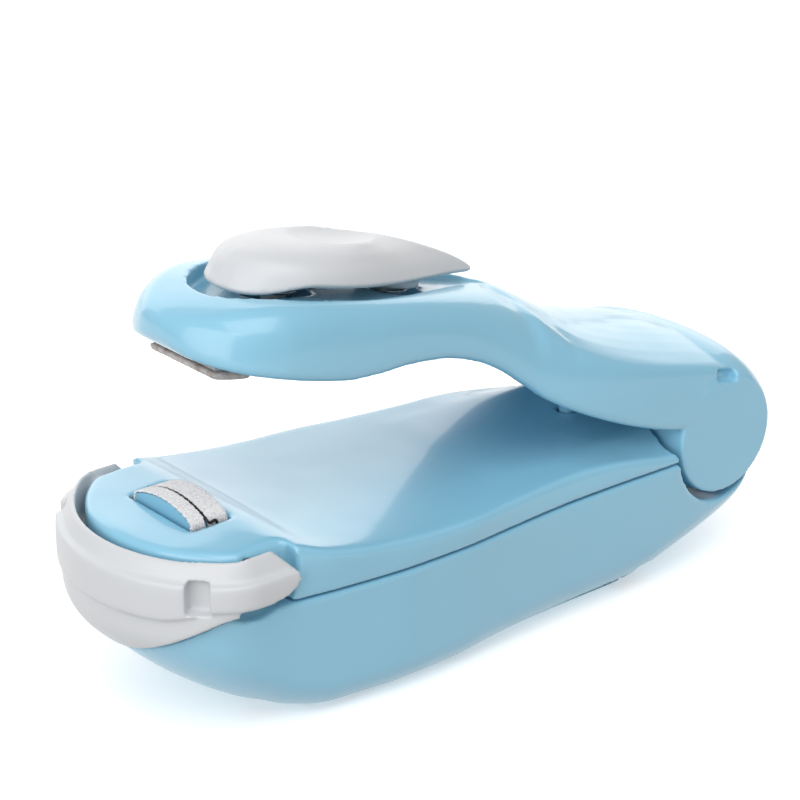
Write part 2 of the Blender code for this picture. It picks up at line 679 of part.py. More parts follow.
def make_heater(cover):
    left = HEATER_X - HEATER_HALF_X
    right = HEATER_X + HEATER_HALF_X
    slot_half = HEATER_HALF_Y + 1.0
    cut(cover, block("heater_slot", (left - 0.5, -slot_half, 20.0), (right + 0.5, slot_half, 30.0)))
    ys = [HEATER_HALF_Y * math.sin(math.pi / 2 * i / 5) for i in range(-5, 6)]
    outline = [(-HEATER_HALF_Y, 20.4)] + [(y, arch(y)) for y in ys] + [(HEATER_HALF_Y, 20.4)]
    body = plate("heater_block", outline, left, right, "X", BLUE)
    flange = block("heater_flange", (left - 0.9, -8.4, 19.8), (right + 0.9, 8.4, 21.4))
    floor = [(-9.0, 22.0)] + [(y, arch(y) - 0.5) for y in ys] + [(9.0, 22.0), (9.0, 40.0), (-9.0, 40.0)]
    groove = plate("heater_groove", floor, WIRE_X - GROOVE_HALF, WIRE_X + GROOVE_HALF, "X")
    join(body, flange)
    cut(body, groove)
    top = 0.1 + STRIP_THICK
    arch_band("cloth_strip_front", left - 0.1, WIRE_X - GROOVE_HALF - 0.1, 0.1, top, CLOTH, 22.6)
    arch_band("cloth_strip_rear", WIRE_X + GROOVE_HALF + 0.1, right + 0.1, 0.1, top, CLOTH, 22.6)
    end = HEATER_HALF_Y + 0.65
    rising = [(end, 19.0), (end - 0.05, 22.0), (end - 0.2, 24.4)]
    crossing = [(end * i / 3.3, arch(end * i / 3.3, 0.12)) for i in range(-3, 4)]
    route = [(-y, z) for y, z in rising] + crossing + rising[::-1]
    wire("heater_wire", [(WIRE_X, y, z) for y, z in route], 0.22, NICHROME)
    for side, name in SIDES:
        middle = side * end
        hole_low = (WIRE_X - 0.4, middle - 0.4, 18.0)
        hole_high = (WIRE_X + 0.4, middle + 0.4, 22.0)
        cut(body, block(f"wire_hole_{name}", hole_low, hole_high))
        low, high = sorted((side * (end - 0.85), side * (end + 0.85)))
        terminal_high = (WIRE_X + 0.8, high, 18.6)
        terminal = block(f"heater_terminal_{name}", (WIRE_X - 0.8, low, 14.0), terminal_high, BRASS)
        hole = rod(f"terminal_hole_{name}", (WIRE_X, middle, 17.5), (WIRE_X, middle, 21.0), 0.4, sides=12)
        cut(terminal, hole)


# Batteries, contacts, leads and switch.
def make_cell(name, y, nub_side):
    half = CELL_LENGTH / 2
    profile = (
        (-half, 6.4), (0.7 - half, CELL_RADIUS), (half - 0.7, CELL_RADIUS), (half, 6.4), (half, 2.75),
        (half + 1.0, 2.6),
    )
    rings = []
    for along, radius in profile:
        x = CELL_MIDDLE_X + nub_side * along
        rings.append([(x, y + a, CELL_Z + b) for a, b in circle((0.0, 0.0), radius, 28)])
    loft(name, rings, CELL_SKIN)


def coil(name, start, direction, length, coil_radius, wire_radius, turns, finish, per_turn=10, pivot=None):
    """A compression spring as a helix about a line through the start point."""
    start = Vector(start)
    direction = Vector(direction).normalized()
    side = direction.orthogonal().normalized()
    up = direction.cross(side)
    points = []
    total = turns * per_turn
    for i in range(total + 1):
        a = 2 * math.pi * i / per_turn
        round_it = (side * math.cos(a) + up * math.sin(a)) * coil_radius
        points.append(start + direction * (length * i / total) + round_it)
    return wire(name, points, wire_radius, finish, pivot)


def make_power():
    make_cell("battery_cell_left", CELL_Y, -1)
    make_cell("battery_cell_right", -CELL_Y, 1)
    front = CELL_MIDDLE_X - CELL_LENGTH / 2
    rear = CELL_MIDDLE_X + CELL_LENGTH / 2
    block("contact_plus", (front - 1.9, CELL_Y - 5.0, 4.0), (front - 1.4, CELL_Y + 5.0, 15.0), BRASS)
    block("contact_minus", (front - 4.9, -CELL_Y - 5.0, 4.0), (front - 4.4, -CELL_Y + 5.0, 15.0), BRASS)
    coil("contact_minus_spring", (front - 3.9, -CELL_Y, CELL_Z), (1, 0, 0), 3.2, 2.6, 0.35, 3, STEEL, 8)
    block("bridge_plate", (rear + 4.0, -9.4, 4.0), (rear + 4.5, 9.4, 15.0), BRASS)
    coil("bridge_spring", (rear + 0.5, CELL_Y, CELL_Z), (1, 0, 0), 3.1, 2.6, 0.35, 3, STEEL, 8)
    block("switch_body", (22.4, -3.2, 15.6), (26.4, 3.2, 18.8), BLACK)
    plus_route = [
        (-27.2, 7.6, 15.6), (-27.4, 7.2, 17.2), (-24.0, 4.6, 17.9), (-10.0, 1.8, 17.8), (10.0, 1.4, 17.8),
        (19.0, 1.5, 17.8), (22.0, 1.5, 17.4),
    ]
    minus_route = [(-29.9, -7.6, 15.6), (-30.6, -7.4, 17.0), (-32.6, -6.8, 16.4),
                   (-34.8, -6.6, 15.4), (-36.1, -6.9, 15.4)]
    switch_route = [(22.0, -1.5, 17.4), (19.0, -1.5, 17.8), (10.0, -1.4, 17.8), (-10.0, -1.8, 17.8),
                    (-24.0, -2.0, 18.0), (-31.0, 2.0, 17.8), (-34.4, 5.6, 16.2), (-36.1, 6.9, 15.6)]
    wire("lead_plus", plus_route, 0.5, LEAD_RED)
    wire("lead_minus", minus_route, 0.5, LEAD_BLACK)
    wire("lead_switch", switch_route, 0.5, LEAD_RED)


def make_switch(cover):
    bore = rod("switch_bore", (SWITCH_X, 0, 10), (SWITCH_X, 0, 30), 1.5, sides=20)
    cut(cover, bore)
    rod("switch_button", (SWITCH_X, 0, 17.2), (SWITCH_X, 0, 23.0), 1.2, BLUE, sides=20)


# The hinge.
def make_hinge():
    rod("hinge_pin", (HINGE.x, -14.2, HINGE.z), (HINGE.x, 14.2, HINGE.z), PIN_RADIUS, STEEL)
    coil_radius = 3.0
    points = [(33.6, -3.6, 15.6), (37.0, -3.6, 15.9)]
    turns = 4
    per_turn = 8
    start = math.radians(-90.0)
    for i in range(turns * per_turn + 5):
        a = start + 2 * math.pi * i / per_turn
        y = -3.6 + 7.2 * i / (turns * per_turn + 4)
        points.append((HINGE.x + coil_radius * math.cos(a), y, HINGE.z + coil_radius * math.sin(a)))
    points += [(38.0, 3.6, 23.0), (33.0, 3.6, 23.6)]
    wire("torsion_spring", points, 0.45, STEEL)


# The lever, drawn shut.
def lever_half_ring(x):
    """The right half of the lever's section, from the middle of its top to the middle of its underside."""
    top = lever_top(x)
    bottom = lever_bottom(x)
    width = lever_width(x)
    shoulder = min(shoulder_width(x), width * 0.97)
    shoulder_z = top - shoulder_drop(x)
    lip = bottom + min(1.2, (top - bottom) * 0.35)
    ring = []
    for share in (0.0, 0.35, 0.7):
        ring.append((x, shoulder * share, top - shoulder_drop(x) * share**2))
    control = (shoulder + 0.94 * (width - shoulder), shoulder_z - 0.1 * (shoulder_z - lip))
    for i in range(6):
        t = i / 5
        y = (1 - t) ** 2 * shoulder + 2 * t * (1 - t) * control[0] + t * t * width
        z = (1 - t) ** 2 * shoulder_z + 2 * t * (1 - t) * control[1] + t * t * lip
        ring.append((x, y, z))
    ring.append((x, width - 0.15, (lip + bottom) / 2))
    ring.append((x, max(width - 0.7, width * 0.7), bottom))
    ring.append((x, 0.0, bottom))
    return ring


def lever_cavity_ring(x):
    """The right half of the hollow under the lever, open below."""
    ceiling = min(lever_top(x) - shoulder_drop(x) - WALL + 0.6, RECESS_FLOOR_Z - WALL + 0.1)
    width = lever_width(x) - WALL - 0.3
    shoulder_z = min(ceiling - 0.7, lever_bottom(x) + 2.7)
    return [
        (x, 0.0, ceiling), (x, width - 4.6, ceiling), (x, width - 1.2, ceiling - 0.5), (x, width, shoulder_z),
        (x, width, 0.0), (x, 0.0, 0.0),
    ]


def teardrop(front_x, tip_x, half, count=9):
    """A plan outline, round in front and drawn out to a point at the rear."""
    right = []
    for i in range(count + 1):
        u = i / count
        u = 0.6 * u * u * (3 - 2 * u) + 0.4 * u
        nose = math.sqrt(1 - (1 - min(u / 0.34, 1.0)) ** 2.2)
        tail = (1 - smoothstep(0.32, 1.08, u)) ** 0.85
        right.append((front_x + (tip_x - front_x) * u, half * nose * tail))
    right[-1] = (tip_x, 0.0)
    return right + [(x, -y) for x, y in reversed(right[1:-1])]


def pad_drop(x):
    """How far the pad's lower edge hangs below its level rear part."""
    return PAD_DROP * (1 - smoothstep(-35.5, -27.0, x))


def make_lever():
    lever = loft("lever_shell", [both_sides(lever_half_ring(x)) for x in LEVER_STATIONS], BLUE, ON_LEVER)
    join(lever, barrel("lever_barrel", pivot=ON_LEVER))
    stations = (
        -41.0, -38.5, -34.0, -27.0, -20.0, -14.0, -8.0, -3.0, 2.0, 6.0, 10.0, 14.0, 18.0, 24.0, 30.0, 33.6,
    )
    cavity = loft("lever_cavity", [both_sides(lever_cavity_ring(x)) for x in stations], pivot=ON_LEVER)
    back = circle((HINGE.x, HINGE.z), 10.0, 9, 90.0, -30.0, closed=False)
    hub_outline = [(32.8, 28.9), (38.0, 28.9)] + back + [(56.0, 8.0), (32.8, 8.0)]
    hub_cavity = plate("lever_hub_cavity", hub_outline, -CHEEK_INNER, CHEEK_INNER, pivot=ON_LEVER)
    cut(lever, cavity, hub_cavity)
    bore = rod("lever_bore", (HINGE.x, -14.6, HINGE.z), (HINGE.x, 14.6, HINGE.z), PIN_BORE, pivot=ON_LEVER)
    cut(lever, bore)
    recess = plate("pad_recess", teardrop(-38.6, 8.4, 10.2), RECESS_FLOOR_Z, 60.0, "Z", pivot=ON_LEVER)
    cut(lever, recess)
    ledge_foot = [(x, y, 33.5) for x, y in teardrop(-39.0, 8.8, 10.6)]
    ledge_head = [(x, y, LEDGE_Z - pad_drop(x)) for x, y, z in ledge_foot]
    ledge = loft("pad_ledge", [ledge_foot, ledge_head], pivot=ON_LEVER)
    cut(ledge, plate("pad_ledge_hole", teardrop(-36.5, 6.0, 8.0), 30.0, 60.0, "Z", pivot=ON_LEVER))
    join(lever, ledge)
    for i, x in enumerate(STEM_X):
        cut(lever, rod(f"stem_bore_{i}", (x, 0, 20), (x, 0, 60), STEM_BORE, pivot=ON_LEVER, sides=20))
    striker_low = (SWITCH_X - 1.6, -1.6, 22.1)
    striker = block("switch_striker", striker_low, (SWITCH_X + 1.6, 1.6, 30.8), pivot=ON_LEVER)
    join(lever, striker)
    for side, name in SIDES:
        low, high = sorted((side * 14.6, side * 16.6))
        slot = block(f"lever_slot_{name}", (39.4, low, 26.7), (43.0, high, 28.3), pivot=ON_LEVER)
        cut(lever, slot)
        x, y = LINER_SCREW_X, side * LINER_SCREW_Y
        post = rod(f"liner_post_{name}", (x, y, 31.6), (x, y, 34.0), 2.2, sides=16, pivot=ON_LEVER)
        pilot = rod(f"liner_pilot_{name}", (x, y, 31.0), (x, y, 33.6), 1.0, sides=12, pivot=ON_LEVER)
        join(lever, post)
        cut(lever, pilot)


def liner_ring(x, low, high):
    width = lever_width(x) - WALL - 0.6
    low_z = lever_bottom(x) + low
    high_z = min(lever_bottom(x) + high, RECESS_FLOOR_Z - WALL - 0.9)
    return both_sides([(x, 0.0, low_z), (x, width, low_z), (x, width, high_z), (x, 0.0, high_z)])


def make_liner():
    stations = (-40.6, -38.5, -34.0, -27.0, -20.0, -14.0, -8.0, -3.0, 1.0)
    liner = loft("lever_liner", [liner_ring(x, 1.0, 2.4) for x in stations], GREY, ON_LEVER)
    for side, name in SIDES:
        x, y = LINER_SCREW_X, side * LINER_SCREW_Y
        cut(liner, rod(f"liner_hole_{name}", (x, y, 20.0), (x, y, 40.0), 1.1, sides=16, pivot=ON_LEVER))
        screw = rod(f"liner_screw_{name}", (x, y, 28.5), (x, y, 29.5), 1.9, STEEL, ON_LEVER, 16)
        shank = rod(f"liner_shank_{name}", (x, y, 29.2), (x, y, 33.4), 0.8, sides=12, pivot=ON_LEVER)
        slot_high = (x + 1.2, y + 0.25, 28.9)
        slot = block(f"liner_slot_{name}", (x - 1.2, y - 0.25, 28.0), slot_high, pivot=ON_LEVER)
        join(screw, shank)
        cut(screw, slot)
    for i, x in enumerate(STEM_X):
        cut(liner, rod(f"liner_stem_hole_{i}", (x, 0, 20), (x, 0, 40), 2.6, sides=16, pivot=ON_LEVER))
    block("jaw_holder", (-39.9, -7.2, 28.2), (-33.6, 7.2, 29.2), GREY, ON_LEVER)
    block("jaw_pad", (-39.7, -6.9, 26.7), (-34.0, 6.9, 27.9), SILICONE, ON_LEVER)


# The press pad on the lever.
def pad_rings():
    """Outlines of the press pad, from its underside, which hangs lower at the front, to its crest."""
    pad_front = through(PAD_FRONT)
    rings = []
    for height, inset in PAD_INSET:
        share = max(0.0, height - 38.6) / 4.9
        tip = 5.4 - inset - 12.5 * share**1.4
        hang = 1 - smoothstep(39.0, 41.4, height)
        ring = teardrop(pad_front(height), tip, 9.2 - inset)
        rings.append([(x, y, height - hang * pad_drop(x)) for x, y in ring])
    return rings


def make_pad():
    pad = loft("thumb_pad", pad_rings(), WHITE, ON_LEVER)
    dish = bmesh.new()
    bmesh.ops.create_uvsphere(dish, u_segments=20, v_segments=12, radius=1.0)
    for vert in dish.verts:
        vert.co = Vector((-20.0 + 9.0 * vert.co.x, 6.2 * vert.co.y, 45.0 + 2.6 * vert.co.z))
    cut(pad, add_mesh("thumb_dish", dish, pivot=ON_LEVER))
    for x, name in zip(STEM_X, ("front", "rear")):
        boss = rod(f"pad_boss_{name}", (x, 0, 37.0), (x, 0, 39.2), 4.1, sides=20, pivot=ON_LEVER)
        pocket = rod(f"pad_pocket_{name}", (x, 0, 36.0), (x, 0, 40.4), 3.1, sides=20, pivot=ON_LEVER)
        stem = rod(f"pad_stem_{name}", (x, 0, 32.0), (x, 0, 41.5), STEM_RADIUS, sides=16, pivot=ON_LEVER)
        join(pad, boss)
        cut(pad, pocket)
        join(pad, stem)
        foot = (x, 0, RECESS_FLOOR_Z + 0.7)
        coil(f"pad_spring_{name}", foot, (0, 0, 1), 4.4, 2.6, 0.25, 3, STEEL, 8, ON_LEVER)


# The battery door with its magnet.
def make_door():
    stations = [x for x in BODY_STATIONS if -35 < x < 35]
    door = body_form("battery_door", stations, finish=BLUE)
    frame = block("door_frame", (DOOR_FRONT_X, -DOOR_HALF_Y, -2), (DOOR_REAR_X, DOOR_HALF_Y, 1.75))
    keep(door, frame)
    for i in range(4):
        x = -23.5 + 1.6 * i
        cut(door, block(f"door_grip_{i}", (x, -5.0, -1.0), (x + 0.8, 5.0, 0.35)))
    magnet = block("magnet", (-9.0, -2.4, 1.95), (9.0, 2.4, 3.5), MAGNET)
    for piece in (door, magnet):
        piece.parent = door_pivot
        piece.matrix_parent_inverse = door_pivot.matrix_world.inverted()


shell, cover = make_base()
make_screw_seats(shell, cover)
make_ears(cover)
make_guard(cover)
make_heater(cover)
make_power()
make_switch(cover)
make_hinge()
make_lever()
make_liner()
make_pad()
make_door()
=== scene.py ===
"""Looks of the handheld bag heat sealer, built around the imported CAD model.

Every size here is in millimetres until a mesh is finished, when it is turned into metres. Only the floor
and the lamps are in metres from the start. The lever, its press pad, the pad's springs and the jaw are
shaped shut, then turned open about the hinge.
"""

import json
import math
import random

import bmesh
import bpy
import numpy as np
from mathutils import Matrix, Vector

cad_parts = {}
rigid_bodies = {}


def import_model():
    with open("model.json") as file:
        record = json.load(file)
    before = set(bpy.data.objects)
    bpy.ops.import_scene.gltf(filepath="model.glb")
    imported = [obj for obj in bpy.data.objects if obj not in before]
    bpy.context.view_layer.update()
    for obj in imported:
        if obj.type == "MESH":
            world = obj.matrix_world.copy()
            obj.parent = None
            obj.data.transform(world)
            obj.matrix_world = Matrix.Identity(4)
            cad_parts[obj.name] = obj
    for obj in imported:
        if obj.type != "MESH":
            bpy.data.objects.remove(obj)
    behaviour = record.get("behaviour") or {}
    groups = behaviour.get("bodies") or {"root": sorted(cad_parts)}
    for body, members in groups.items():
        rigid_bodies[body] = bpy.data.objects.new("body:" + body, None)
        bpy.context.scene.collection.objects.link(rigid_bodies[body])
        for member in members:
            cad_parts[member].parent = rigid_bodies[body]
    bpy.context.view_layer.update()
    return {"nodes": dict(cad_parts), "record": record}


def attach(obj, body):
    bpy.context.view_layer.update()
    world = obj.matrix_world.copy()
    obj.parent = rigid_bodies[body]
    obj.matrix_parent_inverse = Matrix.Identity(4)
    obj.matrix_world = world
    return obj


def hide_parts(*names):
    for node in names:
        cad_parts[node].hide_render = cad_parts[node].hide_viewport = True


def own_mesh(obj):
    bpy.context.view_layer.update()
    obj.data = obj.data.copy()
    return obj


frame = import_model()

MM = 0.001
SIDES = (-1, 1)

# The remeshing that rounds the mouldings: the sizes of its voxels, and the angle about Z that a piece is
# turned by while it is done.
VOXEL = 0.36
LEVER_VOXEL = 0.3
FINE_VOXEL = 0.26
SKEW_RADIANS = 0.53

# Driving dimensions, in millimetres and degrees: the walls, the hinge and what turns on it.
WALL = 1.8
PARTING_Z = 17.6
PARTING_GAP = 0.2
HINGE = Vector((42.8, 0.0, 19.2))
LEVER_OPEN_DEG = 12.1
CHEEK_FACE = 16.2
CHEEK_INNER = 9.5
EAR_OUTER = 9.2
EAR_INNER = 6.2
EAR_RADIUS = 6.6
PIN_BORE = 1.56
NOTCH_GAP = 1.2

# The nose, and the guard round it.
NOSE_FRONT = -47.3
NOSE_HALF = 15.6
NOSE_ARC = 19.6
NOSE_CORNER = 3.0
ARM_END_X = -32.6
STEP_RADIUS = 5.9
GUARD_PIVOT_X = -38.0
GUARD_PIVOT_Z = 22.5

# The heater's seat, the wire over it and the cloth on both sides of the wire.
HEATER_X = -36.95
HEATER_HALF_X = 2.6
HEATER_HALF_Y = 5.9
HEATER_CROWN_Z = 27.0
HEATER_END_Z = 25.8
WIRE_X = HEATER_X - 0.4
WIRE_RADIUS = 0.17
WIRE_TO_CLOTH = 0.24
CLOTH_TOP = 0.36
CLOTH_UNDER = 0.12
CLOTH_OVERHANG = 0.08

# The pad's recess in the lever, its stems and its springs.
RECESS_FLOOR_Z = 34.6
STEM_X = (-27.0, -9.0)
STEM_RADIUS = 1.6
STEM_BORE = 2.0
BOSS_RADIUS = 4.1
WELL_RADIUS = 4.6
SPRING_RADIUS = 2.6
SPRING_LENGTH = 4.4
SPRING_TURNS = 3
SPRING_WIRE = 0.25

# The battery door, the switch and the screws.
DOOR_REAR_X = 25.4
DOOR_FRONT_X = -27.0
DOOR_HALF_Y = 14.6
SWITCH_X = 28.0
LINER_SCREW_X = -20.0
LINER_SCREW_Y = 7.0
SCREW_PLACES = ((-33.3, -10.9), (-33.3, 10.9), (28.8, -13.1), (28.8, 13.1))

# Half-width, heights and corner radii of the lower body against X.
BODY_WIDTH = (
    (-49.3, 0.8), (-48.9, 4.0), (-48.0, 7.3), (-46.5, 10.7), (-44.5, 13.6), (-42.5, 15.6), (-40.5, 16.8),
    (-38.0, 17.5), (-33.0, 18.0), (-22.3, 19.1), (-15.8, 19.6), (-7.9, 19.4), (1.4, 18.6), (14.6, 17.6),
    (26.2, 17.3), (36.0, 17.3), (42.0, 17.0), (46.0, 16.6), (49.0, 15.6), (51.5, 13.5), (53.0, 10.8),
    (54.2, 6.5), (54.6, 1.5),
)
DECK_WIDTH = (
    (-49.3, 0.8), (-40.5, 16.8), (-36.0, 17.6), (-32.6, 17.9), (-27.6, 19.1), (-22.6, 19.6), (-7.6, 19.8),
    (2.4, 18.5), (7.4, 17.8), (14.6, 17.2), (36.0, 17.2), (49.0, 15.2), (51.5, 13.1), (54.6, 1.5),
)
DECK_HEIGHT = (
    (-49.3, 24.5), (-38.0, 25.0), (-34.0, 25.2), (-32.6, 25.0), (-27.6, 23.5), (-22.6, 22.6), (-17.6, 22.0),
    (-10.0, 21.5), (2.0, 21.3), (15.0, 21.3), (20.0, 21.0), (27.0, 20.0), (33.0, 19.0), (40.0, 18.7),
    (54.6, 18.0),
)
BOTTOM_HEIGHT = (
    (-49.3, 15.6), (-48.9, 13.6), (-48.0, 11.6), (-46.5, 9.6), (-44.5, 7.6), (-42.0, 5.6), (-37.0, 2.9),
    (-31.0, 0.8), (-26.0, 0.0), (22.0, 0.0), (26.0, 0.2), (30.0, 0.9), (35.0, 2.1), (42.6, 4.1), (46.5, 5.4),
    (49.5, 6.7), (52.0, 8.7), (53.5, 10.7), (54.6, 13.4),
)
CORNER_ACROSS = (
    (-49.3, 0.7), (-46.5, 9.0), (-42.0, 12.0), (-36.0, 9.0), (-30.0, 6.5), (-25.0, 5.5), (-8.0, 5.5),
    (5.0, 6.5), (28.0, 6.5), (38.0, 7.5), (50.0, 8.0), (54.6, 1.4),
)
CORNER_UP = (
    (-49.3, 1.6), (-46.5, 6.5), (-42.0, 8.0), (-36.0, 7.0), (-30.0, 5.5), (-25.0, 5.0), (-8.0, 5.0),
    (5.0, 6.0), (28.0, 6.0), (38.0, 6.5), (49.0, 6.0), (54.6, 3.0),
)
BODY_STATIONS = (
    -49.3, -48.9, -48.0, -46.5, -44.5, -42.5, -40.0, -37.0, -33.8, -31.5, -28.0, -23.0, -16.0, -8.0, 0.0, 7.0,
    14.0, 20.0, 25.0, 30.0, 34.0, 38.0, 42.0, 46.0, 49.0, 51.5, 53.0, 54.2, 54.6,
)
CAVITY_STATIONS = (-31.0, -28.0, -23.0, -16.0, -8.0, 0.0, 7.0, 14.0, 20.0, 25.0, 32.6)
SPINE_TOP = 21.5
SPINE_HALF = 11.0

# The same for the lever, drawn shut.
LEVER_WIDTH = (
    (-44.2, 1.6), (-43.9, 3.4), (-43.2, 5.4), (-42.0, 7.8), (-40.0, 10.4), (-37.0, 12.6), (-33.0, 13.9),
    (-27.0, 14.4), (-20.0, 14.2), (-14.0, 13.6), (-8.0, 13.1), (-3.0, 12.9), (2.0, 13.2), (6.0, 13.8),
    (10.0, 14.6), (15.0, 15.6), (20.0, 16.2), (26.0, 16.4), (43.5, 16.1),
)
LEVER_TOP = (
    (-44.2, 32.4), (-43.9, 33.0), (-43.2, 33.8), (-42.0, 34.6), (-40.0, 35.6), (-37.0, 36.7), (-33.0, 37.5),
    (-25.0, 37.9), (-5.0, 37.8), (3.0, 37.6), (8.0, 36.9), (12.8, 35.5), (17.0, 34.0), (22.7, 32.8),
    (30.7, 31.9), (38.7, 31.5), (43.5, 31.0),
)
LEVER_BOTTOM = (
    (-44.2, 31.0), (-43.9, 30.2), (-43.2, 29.5), (-42.0, 29.0), (-40.0, 28.7), (-36.0, 28.5), (-25.0, 28.2),
    (-20.0, 28.8), (-14.0, 29.8), (-8.0, 30.2), (-3.0, 29.7), (2.0, 28.3), (6.0, 26.4), (10.0, 24.4),
    (18.0, 22.1), (26.0, 20.6), (31.0, 20.0), (36.0, 19.8), (43.5, 19.7),
)
SHOULDER_WIDTH = (
    (-44.2, 0.8), (-43.2, 3.0), (-40.0, 6.6), (-36.0, 9.2), (-30.0, 10.4), (-20.0, 10.2), (-10.0, 8.8),
    (-3.0, 6.8), (3.0, 4.2), (6.5, 3.2), (9.7, 7.6), (13.7, 11.8), (17.0, 13.6), (24.0, 14.9), (43.5, 15.3),
)
SHOULDER_DROP = (
    (-44.2, 0.2), (-36.0, 0.4), (-10.0, 0.3), (3.0, 0.4), (8.0, 0.9), (11.7, 2.4), (13.7, 3.2), (20.0, 3.2),
    (34.0, 2.8), (43.5, 2.7),
)
LEVER_STATIONS = (
    -44.2, -43.9, -43.2, -42.0, -40.0, -37.0, -33.0, -27.0, -20.0, -14.0, -8.0, -3.0, 2.0, 5.0, 8.0, 10.0,
    13.0, 16.0, 20.0, 26.0, 31.0, 36.0, 43.5,
)

# The press pad: how far each level is set in from its widest outline, and where its front edge lies.
PAD_INSET = (
    (38.3, 1.4), (38.55, 0.6), (39.0, 0.0), (39.8, 0.15), (40.6, 0.5), (41.4, 1.2), (42.1, 2.1), (42.6, 3.1),
    (43.1, 4.4), (43.4, 5.6),
)
PAD_DROP = 2.0
PAD_FRONT = (
    (38.3, -35.2), (38.55, -36.0), (39.0, -36.5), (39.8, -35.9), (40.6, -35.0), (41.4, -33.4), (42.1, -31.0),
    (42.6, -28.5), (43.1, -24.5), (43.4, -20.0),
)
DISH_MIDDLE = Vector((-20.0, 0.0, 45.0))
DISH_RADII = Vector((9.0, 6.2, 2.6))

# The ledge in the pad's recess: its height where the pad's lower edge is level.
LEDGE_Z = 36.6

# The camera, the floor, the world's light and the lamps.
CAMERA_AZIMUTH_DEG = -39.0
CAMERA_ELEVATION_DEG = 22.0
CAMERA_LENS = 117.0
CAMERA_DISTANCE = 356.2
CAMERA_AIM = Vector((7.4, 11.52, 24.6))
FLOOR_HALF = 12.0
FLOOR_DROP = 0.0002
FLOOR_GLOW = 0.36
WORLD_STRENGTH = 0.48
LAMP_AIM = Vector((0.0, 0.0, 0.03))
LAMPS = (
    # Each lamp's name, place, size and watts.
    ("far_softbox", (0.45, 0.90, 0.42), (1.6, 0.8), 5.6),
    ("left_softbox", (-0.9, -0.25, 0.4), (0.8, 0.8), 4.6),
    ("high_softbox", (-0.25, -0.5, 1.0), (0.9, 0.9), 5.6),
)


def through(points):
    """A smooth curve through (x, value) points that never overshoots between two of them."""
    xs = np.array([p[0] for p in points], float)
    ys = np.array([p[1] for p in points], float)
    gaps = np.diff(xs)
    slopes = np.diff(ys) / gaps
    tangents = np.zeros(len(xs))
    tangents[0] = slopes[0]
    tangents[-1] = slopes[-1]
    for i in range(1, len(xs) - 1):
        if slopes[i - 1] * slopes[i] > 0:
            before = 2 * gaps[i] + gaps[i - 1]
            after = gaps[i] + 2 * gaps[i - 1]
            tangents[i] = (before + after) / (before / slopes[i - 1] + after / slopes[i])

    def value(x):
        x = min(max(x, xs[0]), xs[-1])
        i = min(int(np.searchsorted(xs, x, side="right")) - 1, len(xs) - 2)
        t = (x - xs[i]) / gaps[i]
        return float(
            (1 + 2 * t) * (1 - t) ** 2 * ys[i]
            + t * (1 - t) ** 2 * gaps[i] * tangents[i]
            + t * t * (3 - 2 * t) * ys[i + 1]
            + t * t * (t - 1) * gaps[i] * tangents[i + 1]
        )

    return value


body_width = through(BODY_WIDTH)
deck_width = through(DECK_WIDTH)
deck_height = through(DECK_HEIGHT)
bottom_height = through(BOTTOM_HEIGHT)
corner_across = through(CORNER_ACROSS)
corner_up = through(CORNER_UP)
lever_width = through(LEVER_WIDTH)
lever_top = through(LEVER_TOP)
lever_bottom = through(LEVER_BOTTOM)
shoulder_width = through(SHOULDER_WIDTH)
shoulder_drop = through(SHOULDER_DROP)


def smoothstep(low, high, x):
    t = min(max((x - low) / (high - low), 0.0), 1.0)
    return t * t * (3 - 2 * t)


def mix(a, b, share):
    return a + (b - a) * share


def fine(stations, parts):
    """The stations with each gap between two of them divided into equal parts."""
    spread = []
    for near, far in zip(stations, stations[1:]):
        spread += [mix(near, far, i / parts) for i in range(parts)]
    return spread + [stations[-1]]


def soften(ring, times=1):
    """A closed ring with its corners cut."""
    for _ in range(times):
        cut_ring = []
        for i, point in enumerate(ring):
            after = ring[(i + 1) % len(ring)]
            cut_ring.append(tuple(mix(a, b, 0.25) for a, b in zip(point, after)))
            cut_ring.append(tuple(mix(a, b, 0.75) for a, b in zip(point, after)))
        ring = cut_ring
    return ring


def circle(middle, radius, count, start_deg=0.0, end_deg=360.0, closed=True):
    """Points on an arc in a plane, as pairs."""
    steps = count if closed else count - 1
    angles = [math.radians(start_deg + (end_deg - start_deg) * i / steps) for i in range(count)]
    return [(middle[0] + radius * math.cos(a), middle[1] + radius * math.sin(a)) for a in angles]


def both_sides(half):
    """A whole closed ring from its right half, which starts and ends on the middle plane."""
    return list(half) + [(x, -y, z) for x, y, z in reversed(half[1:-1])]


# From the lever's shut place, where it is shaped, to its open one.
OPENING = Matrix.Rotation(math.radians(LEVER_OPEN_DEG), 4, "Y")
TO_OPEN = Matrix.Translation(HINGE) @ OPENING @ Matrix.Translation(-HINGE)

# Solids in millimetres, used as they are or as cutters.
helpers = bpy.data.collections.new("helpers")
pieces = bpy.data.collections.new("pieces")
bpy.context.scene.collection.children.link(helpers)
bpy.context.scene.collection.children.link(pieces)


def mesh_of(shape, name):
    """A bmesh turned into a mesh, with its faces pointing outwards."""
    bmesh.ops.recalc_face_normals(shape, faces=shape.faces)
    mesh = bpy.data.meshes.new(name)
    shape.to_mesh(mesh)
    shape.free()
    return mesh


def solid(shape):
    made = bpy.data.objects.new("helper", mesh_of(shape, "helper"))
    helpers.objects.link(made)
    return made


def copy_of(made, name):
    """A helper with another's modifiers applied."""
    graph = bpy.context.evaluated_depsgraph_get()
    copied = bpy.data.objects.new(name, bpy.data.meshes.new_from_object(made.evaluated_get(graph)))
    helpers.objects.link(copied)
    return copied


